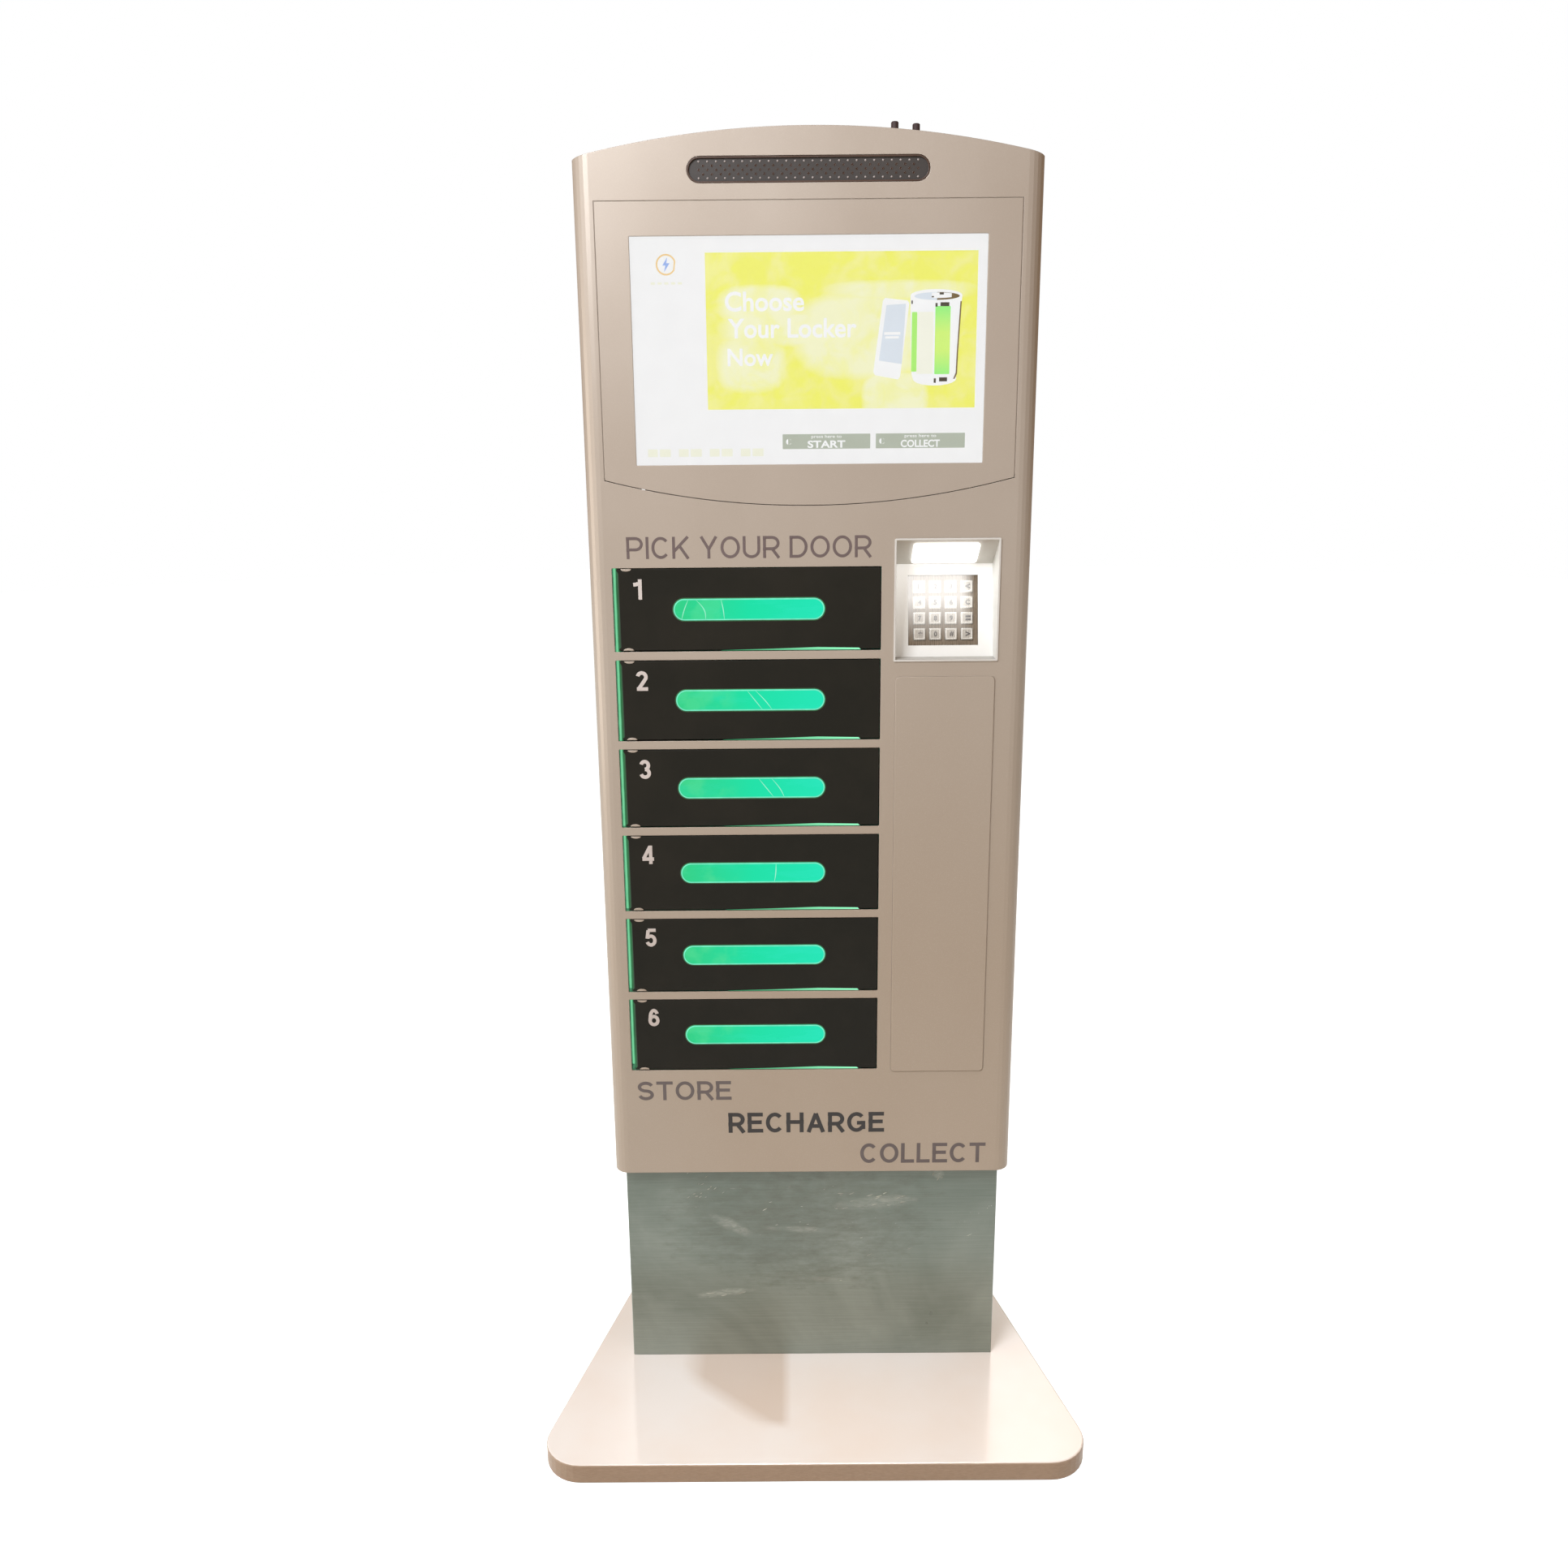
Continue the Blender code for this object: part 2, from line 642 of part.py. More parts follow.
def screen_rectangle(grow, radius=0.0):
    half = (SCREEN_WIDTH / 2 + grow, SCREEN_HEIGHT / 2 + grow)
    return rectangle((-half[0], SCREEN_CENTRE - half[1]), (half[0], SCREEN_CENTRE + half[1]), radius)


def screen_panel():
    panel = part("screen_panel", prism(panel_outline(0), FACE, FACE + PANEL_THICKNESS, "Y"),
                 "champagne_paint")
    cut(panel, prism(screen_rectangle(0, SMALL_RADIUS), FACE - SHEET, FACE + 3 * SHEET, "Y"))
    smooth(panel)


def screen_glass():
    front = FACE + PANEL_THICKNESS + GAP
    glass = part("screen_glass", prism(screen_rectangle(GLASS_LIP, GLASS_RADIUS), front,
                                       front + GLASS_THICKNESS, "Y"), "screen_glass")
    soften(glass, GLASS_EDGE, 1)
    smooth(glass)


def lcd_monitor():
    front = FACE + PANEL_THICKNESS + GLASS_THICKNESS + 2 * GAP
    middle = front + MONITOR_FRAME_DEPTH
    wide = screen_rectangle(MONITOR_FRAME)
    narrow = screen_rectangle(-3 * MONITOR_FRAME)
    monitor = part("lcd_monitor", stepped([(wide, front), (wide, middle), (narrow, middle),
                                           (narrow, front + MONITOR_BACK_DEPTH)], "Y"),
                   "black_plastic")
    smooth(monitor)


def speaker_grille():
    centre = (0, BODY_TOP - SPEAKER_BELOW_TOP)
    front = FACE + SHEET + GAP
    grille = part("speaker_grille",
                  prism(stadium(centre, SPEAKER_WIDTH + 2 * GRILLE_LIP,
                                SPEAKER_HEIGHT + 2 * GRILLE_LIP),
                        front, front + THIN_SHEET, "Y"), "black_plastic")
    smooth(grille)


def speaker_bar():
    """Two small drivers in one housing behind the grille."""
    z = BODY_TOP - SPEAKER_BELOW_TOP
    front = FACE + SHEET + THIN_SHEET + 2 * GAP
    half = (SPEAKER_WIDTH / 2 - GRILLE_LIP, SPEAKER_HEIGHT / 2 + GRILLE_LIP / 2)
    housing = part("speaker_bar",
                   prism(rectangle((-half[0], z - half[1]), (half[0], z + half[1]),
                                   SPEAKER_CASE_RADIUS),
                         front, front + SPEAKER_DEPTH, "Y"), "black_plastic")
    cones = []
    for x in (-half[0] / 2, half[0] / 2):
        cones.append(turned((x, z), [(CONE_RADIUS, front - SHEET), (CONE_RADIUS, front + SHEET),
                                     (CONE_RADIUS / 2, front + 4 * SHEET)], "Y"))
    cut(housing, *cones)
    smooth(housing)


# Keypad

def keypad_housing():
    """A hooded moulding: a sloping ceiling, and a back that leans away from the user."""
    wall = KEYPAD_WALL
    edge = KEYPAD_RIM / 2 + GAP
    rim = rectangle((KEYPAD_LEFT, KEYPAD_LOW), (KEYPAD_RIGHT, KEYPAD_TOP),
                    KEYPAD_RADIUS, 2)
    housing = part("keypad_housing", prism(rim, FACE - KEYPAD_PROUD, FACE - GAP, "Y"),
                   "silver_moulding")
    low = KEYPAD_LOW + edge
    top = KEYPAD_TOP - edge
    start = FACE - KEYPAD_PROUD / 2
    deep = FACE + KEYPAD_TOP_DEPTH + wall
    case = [(start, low), (FACE + KEYPAD_LOW_DEPTH + wall, low), (deep, HOOD_BACK + wall / 2),
            (FACE + 2 * wall, top), (start, top)]
    join(housing, prism(case, KEYPAD_LEFT + edge, KEYPAD_RIGHT - edge, "X"))
    mouth = FACE - 2 * KEYPAD_PROUD
    hollow = [(mouth, RECESS_LOW), (FACE + KEYPAD_LOW_DEPTH, RECESS_LOW),
              (FACE + KEYPAD_TOP_DEPTH, HOOD_BACK), (FACE, RECESS_TOP), (mouth, RECESS_TOP)]
    half = PLATE_SIZE / 2 + GAP
    hole = turn_shape(block((-half, -wall, -half), (half, 3 * wall, half)), PLATE_TURN)
    cut(housing, prism(hollow, KEYPAD_LEFT + KEYPAD_RIM, KEYPAD_RIGHT - KEYPAD_RIM, "X"))
    cut(housing, hole)
    smooth(housing)


def keypad_lamp():
    """A flat lens under the sloping ceiling."""
    run = (KEYPAD_TOP_DEPTH, -KEYPAD_HOOD_DROP)
    slope = atan2(run[1], run[0])
    middle = Vector((KEYPAD_MIDDLE, FACE + run[0] / 2, RECESS_TOP + run[1] / 2))
    half = (LAMP_WIDTH / 2, LAMP_LENGTH / 2)
    lens = part("keypad_lamp",
                prism(rectangle((-half[0], -half[1]), half, LAMP_RADIUS),
                      -LAMP_THICKNESS - GAP, -GAP, "Z"),
                "lamp_lens")
    lens.location = middle
    lens.rotation_euler = (slope, 0, 0)
    soften(lens, EDGE_BREAK, 1)
    smooth(lens)


def key_places():
    """Row, column and the place of each key on the plate, from the top left."""
    reach = (KEY_ROWS - 1) / 2
    for row in range(KEY_ROWS):
        for column in range(KEY_ROWS):
            yield row, column, (column - reach) * KEY_PITCH, (reach - row) * KEY_PITCH


def on_plate(obj, x=0.0, z=0.0):
    obj.location = PLATE_TURN @ Vector((x, 0, z))
    obj.rotation_euler = (-PANEL_TILT, 0, 0)


def keypad_plate():
    half = PLATE_SIZE / 2
    plate = part("keypad_plate",
                 prism(rectangle((-half, -half), (half, half), SMALL_RADIUS, 2), PLATE_SETBACK,
                       PLATE_SETBACK + PLATE_THICKNESS, "Y"), "pad_plate")
    reach = KEY_SIZE / 2 + KEY_PLAY
    holes = []
    for _, _, x, z in key_places():
        outline = rectangle((x - reach, z - reach), (x + reach, z + reach))
        holes.append(prism(outline, 0, 2 * PLATE_THICKNESS + PLATE_SETBACK, "Y"))
    cut(plate, *holes)
    on_plate(plate)
    smooth(plate)


def keys():
    """Square caps, each held behind the plate by a flange."""
    half = KEY_SIZE / 2
    front = PLATE_SETBACK - KEY_PROUD
    back = PLATE_SETBACK + PLATE_THICKNESS + GAP
    small = half - EDGE_BREAK
    top = rectangle((-small, -small), (small, small), SMALL_RADIUS, 2)
    cap = rectangle((-half, -half), (half, half), SMALL_RADIUS, 2)
    wide = half + KEY_FLANGE
    flange = rectangle((-wide, -wide), (wide, wide), SMALL_RADIUS, 2)
    shape = stepped([(top, front), (cap, front + EDGE_BREAK), (cap, back), (flange, back),
                     (flange, back + KEY_FLANGE)], "Y")
    first = None
    for row, column, x, z in key_places():
        name = "key_row%d_col%d" % (row + 1, column + 1)
        if first is None:
            first = part(name, shape, "key_metal")
            smooth(first)
            on_plate(first, x, z)
            continue
        on_plate(copy_at(first, name, (0, 0, 0)), x, z)


def side_cover():
    """A blank cover whose edge laps the cabinet and whose tray fills the hole."""
    front = FACE - COVER_PROUD
    lap = FACE - GAP
    plate = cover_outline(0, COVER_RADIUS)
    face = cover_outline(EDGE_BREAK, COVER_RADIUS - EDGE_BREAK)
    tray = cover_outline(COVER_LIP + GAP, COVER_RADIUS - GAP)
    cover = part("side_cover", stepped([(face, front), (plate, front + EDGE_BREAK), (plate, lap),
                                        (tray, lap), (tray, FACE + COVER_TRAY)], "Y"),
                 "champagne_paint")
    pocket = cover_outline(COVER_LIP + GAP + SHEET, COVER_RADIUS - SHEET)
    cut(cover, prism(pocket, FACE + SHEET / 2, FACE + 2 * COVER_TRAY, "Y"))
    smooth(cover)


# Lockers

def locker_bank():
    """Six open-fronted compartments folded and welded as one."""
    wall = THIN_SHEET
    top = shelf_middle(0) + wall / 2
    low = shelf_middle(DOOR_COUNT) - wall / 2
    bank = part("locker_bank",
                block((BANK_LEFT - wall, BANK_FRONT, low), (BANK_RIGHT + wall, BANK_BACK, top)),
                "zinc_steel")
    rooms = []
    for i in range(DOOR_COUNT):
        rooms.append(block((BANK_LEFT, BANK_FRONT - wall, shelf_middle(i + 1) + wall / 2),
                           (BANK_RIGHT, BANK_BACK - wall, shelf_middle(i) - wall / 2)))
    cut(bank, *rooms)
    rod = prism(circle((HINGE_X, HINGE_Y), HINGE_ROD_RADIUS + SHAFT_PLAY), low - wall, top + wall, "Z")
    slot = block((BANK_LEFT - wall / 4, FACE + STRIP_SETBACK - GAP, shelf_middle(DOOR_COUNT) + wall),
                 (BANK_LEFT + STRIP_WIDTH + 2 * GAP, FACE + STRIP_SETBACK + STRIP_DEPTH + GAP,
                  shelf_middle(0) - wall))
    grommets = []
    for i in range(DOOR_COUNT):
        middle = (DOOR_MIDDLE, shelf_middle(i) - DOOR_PITCH / 2)
        grommets.append(prism(circle(middle, GROMMET_RADIUS, 12), BANK_BACK - 3 * wall,
                              BANK_BACK + wall, "Y"))
    cut(bank, rod, slot, *grommets)
    smooth(bank)


def shelf_middle(index):
    """The height of a shelf: 0 is above the first door."""
    return DOORS_TOP + DOOR_STRIP / 2 - index * DOOR_PITCH


def door_shape():
    """The first door: a folded pan with a window slot, hinge holes and a striker."""
    low = (DOOR_LEFT, door_low(0))
    high = (DOOR_RIGHT, door_low(0) + DOOR_HEIGHT)
    middle = (DOOR_MIDDLE, (low[1] + high[1]) / 2)
    edge = EDGE_BREAK
    whole = rectangle(low, high, SMALL_RADIUS, 2)
    small = rectangle((low[0] + edge, low[1] + edge), (high[0] - edge, high[1] - edge),
                      SMALL_RADIUS, 2)
    door = part("door_1", stepped([
        (small, FACE), (whole, FACE + edge), (whole, FACE + DOOR_DEPTH)], "Y"), "black_paint")
    pan = rectangle((low[0] + DOOR_SKIN, low[1] + DOOR_SKIN),
                    (high[0] - DOOR_SKIN, high[1] - DOOR_SKIN))
    cut(door, prism(pan, FACE + DOOR_SKIN, FACE + 2 * DOOR_DEPTH, "Y"))
    half = STRIKER_THICKNESS / 2
    striker = block((LOCK_MIDDLE - half, FACE + DOOR_SKIN / 2, middle[1] - STRIKER_HEIGHT / 2),
                    (LOCK_MIDDLE + half, FACE + STRIKER_REACH, middle[1] + STRIKER_HEIGHT / 2))
    join(door, striker)
    slot = prism(stadium(middle, WINDOW_WIDTH, WINDOW_HEIGHT), FACE - DOOR_SKIN,
                 FACE + 2 * DOOR_SKIN, "Y")
    rod = prism(circle((HINGE_X, HINGE_Y), HINGE_ROD_RADIUS + SHAFT_PLAY), low[1] - DOOR_SKIN,
                high[1] + DOOR_SKIN, "Z")
    loop_end = FACE + STRIKER_REACH - STRIKER_THICKNESS
    loop = block((LOCK_MIDDLE - 3 * half, loop_end - STRIKER_LOOP, middle[1] - STRIKER_LOOP / 2),
                 (LOCK_MIDDLE + 3 * half, loop_end, middle[1] + STRIKER_LOOP / 2))
    cut(door, slot, rod, loop)
    return door, middle


def window_shape(middle):
    """A stepped lens that fills the slot and laps the skin behind it."""
    edge = EDGE_BREAK
    width = WINDOW_WIDTH - 2 * GAP
    height = WINDOW_HEIGHT - 2 * GAP
    back = FACE + DOOR_SKIN + GAP
    small = stadium(middle, width - 2 * edge, height - 2 * edge)
    lens = stadium(middle, width, height)
    lip = stadium(middle, width + 2 * WINDOW_LIP, height + 2 * WINDOW_LIP)
    front = FACE - WINDOW_PROUD
    return part("window_1", stepped([(small, front), (lens, front + edge), (lens, back), (lip, back),
                                     (lip, back + WINDOW_BACK)], "Y"), "green_acrylic")


def doors():
    """Each door turns on the rod; its window is fixed to it."""
    door, middle = door_shape()
    window = window_shape(middle)
    pivot = (HINGE_X, HINGE_Y, middle[1])
    for obj in (door, window):
        smooth(obj)
        set_origin(obj, pivot)
    for i in range(1, DOOR_COUNT):
        drop = (0, 0, -i * DOOR_PITCH)
        copy_at(door, "door_%d" % (i + 1), drop)
        copy_at(window, "window_%d" % (i + 1), drop)


def locks():
    """Electric locks, each with an open mouth that takes the door's striker."""
    z = door_low(0) + DOOR_HEIGHT / 2
    front = FACE + LOCK_SETBACK
    half = LOCK_HEIGHT / 2
    lock = part("lock_1", prism(rectangle((LOCK_LEFT, z - half), (LOCK_RIGHT, z + half), CASE_RADIUS, 2),
                                front, front + LOCK_DEPTH, "Y"), "zinc_steel")
    mouth = block((LOCK_MIDDLE - LOCK_MOUTH / 2, front - LOCK_MOUTH, z - LOCK_MOUTH_HEIGHT / 2),
                  (LOCK_MIDDLE + LOCK_MOUTH / 2, front + LOCK_MOUTH_DEPTH, z + LOCK_MOUTH_HEIGHT / 2))
    cut(lock, mouth)
    smooth(lock)
    for i in range(1, DOOR_COUNT):
        copy_at(lock, "lock_%d" % (i + 1), (0, 0, -i * DOOR_PITCH))


def hinge_rod():
    """One rod carries the six doors; its head rests on the top shelf."""
    radius = HINGE_ROD_RADIUS
    top = shelf_middle(0) + THIN_SHEET / 2 + GAP
    low = shelf_middle(DOOR_COUNT) - 4 * THIN_SHEET
    profile = [(radius - ROD_POINT, low), (radius, low + ROD_POINT), (radius, top),
               (2 * radius, top), (2 * radius, top + ROD_HEAD)]
    rod = part("hinge_rod", turned((HINGE_X, HINGE_Y), profile, "Z"), "zinc_steel")
    smooth(rod)


def led_strip():
    left = BANK_LEFT + GAP
    front = FACE + STRIP_SETBACK
    strip = part("led_strip",
                 block((left, front, shelf_middle(DOOR_COUNT) + 2 * THIN_SHEET),
                       (left + STRIP_WIDTH, front + STRIP_DEPTH, shelf_middle(0) - 2 * THIN_SHEET)),
                 "green_light")
    smooth(strip)


# Rear door

def rear_door():
    low = (REAR_LEFT + REAR_HINGE_GAP, REAR_LOW + REAR_GAP)
    high = (REAR_RIGHT - REAR_GAP, REAR_TOP - REAR_GAP)
    inner = BACK - DOOR_DEPTH
    door = part("rear_door", prism(rectangle(low, high, SMALL_RADIUS, 2), inner, BACK, "Y"),
                "champagne_paint")
    pan = rectangle((low[0] + SHEET, low[1] + SHEET), (high[0] - SHEET, high[1] - SHEET))
    cut(door, prism(pan, inner - SHEET, BACK - SHEET, "Y"))
    tools = [prism(circle((REAR_HINGE_X, REAR_HINGE_Y), HINGE_ROD_RADIUS + SHAFT_PLAY),
                   low[1] - SHEET, high[1] + SHEET, "Z"),
             prism(circle((CAM_X, CAM_Z), CAM_BARREL_RADIUS + SHAFT_PLAY), BACK - 2 * SHEET,
                   BACK + SHEET, "Y")]
    for row in range(LOUVRE_ROWS):
        z = REAR_TOP - LOUVRE_BELOW_TOP - row * LOUVRE_PITCH
        for x in (-LOUVRE_SPACING / 2, LOUVRE_SPACING / 2):
            tools.append(prism(stadium((x, z), LOUVRE_WIDTH, LOUVRE_HEIGHT, 4), BACK - 2 * SHEET,
                               BACK + SHEET, "Y"))
    cut(door, *tools)
    smooth(door)
    set_origin(door, (REAR_HINGE_X, REAR_HINGE_Y, CAM_Z))


def rear_hinge_rod():
    radius = HINGE_ROD_RADIUS
    top = REAR_TOP + THIN_SHEET + SHEET / 4 + GAP
    rod = part("rear_hinge_rod",
               turned((REAR_HINGE_X, REAR_HINGE_Y), [(radius - ROD_POINT, REAR_LOW - 4 * SHEET),
                                                     (radius, REAR_LOW - 3 * SHEET), (radius, top),
                                                     (2 * radius, top), (2 * radius, top + ROD_HEAD)],
                      "Z"), "zinc_steel")
    smooth(rod)


def rear_lock():
    """A cam lock: a barrel through the door, whose cam catches behind the frame's lip."""
    catch = BACK - REAR_LIP_DEPTH - CAM_PLAY
    barrel = part("rear_lock",
                  turned((CAM_X, CAM_Z), [(CAM_BARREL_RADIUS, catch - CAM_THICKNESS / 2),
                                          (CAM_BARREL_RADIUS, BACK + GAP),
                                          (CAM_HEAD_RADIUS, BACK + GAP),
                                          (CAM_HEAD_RADIUS, BACK + CAM_HEAD - EDGE_BREAK),
                                          (CAM_HEAD_RADIUS - EDGE_BREAK, BACK + CAM_HEAD)], "Y"),
                  "zinc_steel")
    half = CAM_WIDTH / 2
    arm = rectangle((CAM_X - half, CAM_Z - CAM_LENGTH), (CAM_X + half, CAM_Z), CAM_RADIUS, 2)
    join(barrel, prism(arm, catch - CAM_THICKNESS, catch, "Y"))
    wide, high = CAM_SLIT
    slit = block((CAM_X - wide / 2, BACK + CAM_HEAD / 2, CAM_Z - high / 2),
                 (CAM_X + wide / 2, BACK + 2 * CAM_HEAD, CAM_Z + high / 2))
    cut(barrel, slit)
    smooth(barrel)
    set_origin(barrel, (CAM_X, BACK, CAM_Z))


# Electronics

def cased_board(name, size, centre_x, low, finish):
    """A box with a raised lid towards the rear door."""
    half = size[0] / 2
    front = BAY_FRONT
    back = front + size[1]
    box = rectangle((centre_x - half, low), (centre_x + half, low + size[2]), CASE_RADIUS, 2)
    lid = rectangle((centre_x - half + LID_INSET, low + LID_INSET),
                    (centre_x + half - LID_INSET, low + size[2] - LID_INSET), CASE_RADIUS, 2)
    step = back - size[1] / LID_SHARE
    made = part(name, stepped([(box, front), (box, step), (lid, step), (lid, back)], "Y"), finish)
    smooth(made)


def controller_box():
    low = shelf_middle(1)
    cased_board("controller_box", CONTROLLER_SIZE, DOOR_MIDDLE, low - CONTROLLER_SIZE[2] / 2,
                "black_plastic")


def power_supply():
    low = shelf_middle(DOOR_COUNT - 1)
    cased_board("power_supply", SUPPLY_SIZE, DOOR_MIDDLE, low - SUPPLY_SIZE[2] / 2, "supply_case")


def power_inlet():
    """A mains socket and a switch frame in one block, flanged against the cabinet's back."""
    x, z = inlet_place()
    half = (INLET_BODY[0] / 2, INLET_BODY[2] / 2)
    wide = (INLET_FLANGE[0] / 2, INLET_FLANGE[2] / 2)
    body = rectangle((x - half[0], z - half[1]), (x + half[0], z + half[1]))
    flange = rectangle((x - wide[0], z - wide[1]), (x + wide[0], z + wide[1]))
    lap = BACK + GAP
    inlet = part("power_inlet", stepped([(body, BACK - INLET_BODY[1]), (body, lap), (flange, lap),
                                         (flange, lap + INLET_FLANGE[1])], "Y"), "black_plastic")
    out = lap + 2 * INLET_FLANGE[1]
    socket_x = x + half[0] / 2
    socket = rectangle((socket_x - SOCKET_SIZE[0] / 2, z - SOCKET_SIZE[2] / 2),
                       (socket_x + SOCKET_SIZE[0] / 2, z + SOCKET_SIZE[2] / 2),
                       CASE_RADIUS, 2)
    well_x = x - half[0] / 2
    reach = (SWITCH_SIZE[0] / 2 + 2 * GAP, SWITCH_SIZE[1] / 2 + 3 * GAP)
    well = rectangle((well_x - reach[0], z - reach[1]), (well_x + reach[0], z + reach[1]))
    cut(inlet, prism(socket, lap - SOCKET_SIZE[1], out, "Y"),
        prism(well, lap - 2 * SWITCH_DEPTH, out, "Y"))
    pins = []
    pin = (PIN_SIZE[0] / 2, PIN_SIZE[2] / 2)
    for side in (-1, 0, 1):
        pin_x = socket_x + side * PIN_PITCH
        pin_z = z + PIN_LIFT * (1 - 2 * abs(side))
        pins.append(block((pin_x - pin[0], BACK - SHEET - PIN_SIZE[1], pin_z - pin[1]),
                          (pin_x + pin[0], BACK - SHEET, pin_z + pin[1])))
    join(inlet, *pins)
    smooth(inlet)


def power_switch():
    """A rocker that tips about a sideways axis in the inlet's well."""
    x, z = inlet_place()
    x -= INLET_BODY[0] / 4
    pivot_y = BACK + GAP - SWITCH_DEPTH / 2
    half = SWITCH_SIZE[1] / 2
    face = pivot_y + SWITCH_DEPTH / 2
    low = face + ROCKER_RISE / 2
    inner = half - EDGE_BREAK
    side = [(pivot_y - 2 * EDGE_BREAK, z - ROCKER_WAIST), (pivot_y + EDGE_BREAK, z - inner),
            (low + ROCKER_RISE, z - inner + EDGE_BREAK), (low, z), (low, z + inner - 2 * EDGE_BREAK),
            (pivot_y + EDGE_BREAK, z + inner - EDGE_BREAK), (pivot_y - 2 * EDGE_BREAK, z + ROCKER_WAIST)]
    rocker = part("power_switch", prism(side, x - SWITCH_SIZE[0] / 2, x + SWITCH_SIZE[0] / 2, "X"),
                  "black_plastic")
    smooth(rocker)
    set_origin(rocker, (x, pivot_y, z))


def aerials():
    """Two short stubs on the arched top, to the right of the middle."""
    for i in range(2):
        x = AERIAL_FROM_CENTRE + i * AERIAL_SPACING
        foot = sqrt(ARCH_RADIUS ** 2 - (x - AERIAL_NUT_RADIUS) ** 2) + ARCH_CENTRE + GAP
        tip = foot + AERIAL_HEIGHT
        nut = foot + AERIAL_NUT_HEIGHT
        stub = part("aerial_%d" % (i + 1),
                    turned((x, FACE + AERIAL_SETBACK),
                           [(AERIAL_NUT_RADIUS, foot), (AERIAL_NUT_RADIUS, nut),
                            (AERIAL_RADIUS, nut), (AERIAL_RADIUS, tip - SMALL_RADIUS),
                            (AERIAL_RADIUS - SMALL_RADIUS, tip)], "Z"), "dark_rubber")
        smooth(stub)


def build():
    for old in list(bpy.data.objects):
        bpy.data.objects.remove(old)
    base_plate()
    pedestal_column()
    cabinet_shell()
    top_cover()
    bottom_plate()
    screen_panel()
    screen_glass()
    lcd_monitor()
    speaker_grille()
    speaker_bar()
    keypad_housing()
    keypad_lamp()
    keypad_plate()
    keys()
    side_cover()
    locker_bank()
    doors()
    locks()
    hinge_rod()
    led_strip()
    rear_door()
    rear_hinge_rod()
    rear_lock()
    controller_box()
    power_supply()
    power_inlet()
    power_switch()
    aerials()


build()
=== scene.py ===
import json
import math
import random

import bpy
import bmesh
from mathutils import Matrix, Vector


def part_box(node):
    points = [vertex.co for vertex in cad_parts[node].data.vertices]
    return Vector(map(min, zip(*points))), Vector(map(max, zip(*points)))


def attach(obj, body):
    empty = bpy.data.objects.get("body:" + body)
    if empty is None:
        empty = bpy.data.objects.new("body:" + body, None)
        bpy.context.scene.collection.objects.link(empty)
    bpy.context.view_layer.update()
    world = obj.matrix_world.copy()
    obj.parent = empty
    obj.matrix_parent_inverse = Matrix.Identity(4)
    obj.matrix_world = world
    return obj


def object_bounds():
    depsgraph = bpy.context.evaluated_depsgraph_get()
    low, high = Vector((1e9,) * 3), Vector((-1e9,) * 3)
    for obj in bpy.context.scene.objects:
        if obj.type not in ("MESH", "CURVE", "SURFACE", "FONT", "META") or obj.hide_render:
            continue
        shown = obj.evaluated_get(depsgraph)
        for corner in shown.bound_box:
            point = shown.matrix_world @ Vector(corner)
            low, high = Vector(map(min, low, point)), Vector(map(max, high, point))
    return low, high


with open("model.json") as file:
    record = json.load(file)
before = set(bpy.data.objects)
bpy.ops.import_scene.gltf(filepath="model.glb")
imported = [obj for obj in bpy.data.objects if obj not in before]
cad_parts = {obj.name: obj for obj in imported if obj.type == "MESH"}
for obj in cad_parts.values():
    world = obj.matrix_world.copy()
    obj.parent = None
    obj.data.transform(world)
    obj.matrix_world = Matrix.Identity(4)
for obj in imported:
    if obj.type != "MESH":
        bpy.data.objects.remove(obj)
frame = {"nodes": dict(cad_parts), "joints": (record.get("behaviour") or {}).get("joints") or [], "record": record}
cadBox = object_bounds()
doorCount = 6
keyRows = 4         # and as many columns
windowLip = 0.006   # the part of a window that hides behind its door

# camera, lights and floor

shot = {
    "place": (-0.0284, -1.6074, 1.2683),
    "yaw": -0.18,       # degrees, to the right is positive
    "pitch": -14.15,
    "roll": -0.50,
    "lens": 29.81,
    "sensor": 36.0,
}

studio = {
    "floorColour": (0.90, 0.89, 0.88),
    "floorGlow": 0.90,
    "floorReach": 14.0,
    "floorGlowColour": (0.82, 0.94, 1.0),
    "skyColour": (1.0, 0.70, 0.455),
    "skyPower": 0.355,
    "boardLamp": {      # a narrow box that shines straight down on the base board
        "place": (0.0, -0.27, 1.80), "aim": (0.0, -0.25, 0.0), "watts": 0.6, "wide": 0.95,
        "deep": 0.25, "spread": 30, "colour": (1.0, 0.975, 0.95)},
    "backdrop": (1.0, 1.0, 1.0),        # what the camera sees behind the floor
    "lamps": {          # place, aim, size, spread in degrees, watts, colour
        "keyLamp": ((-1.05, -1.70, 2.65), (0.05, 0.0, 1.55), 1.1, 105, 24, (0.955, 1.0, 1.075)),
        "leftLamp": ((-2.2, -0.55, 1.0), (0.0, 0.0, 0.9), 1.3, 180, 13, (1.0, 0.94, 0.87)),
        "backLamp": ((0.25, 2.5, 2.3), (0.0, 0.2, 1.0), 1.8, 180, 31, (1.0, 0.97, 0.94)),
    },
}


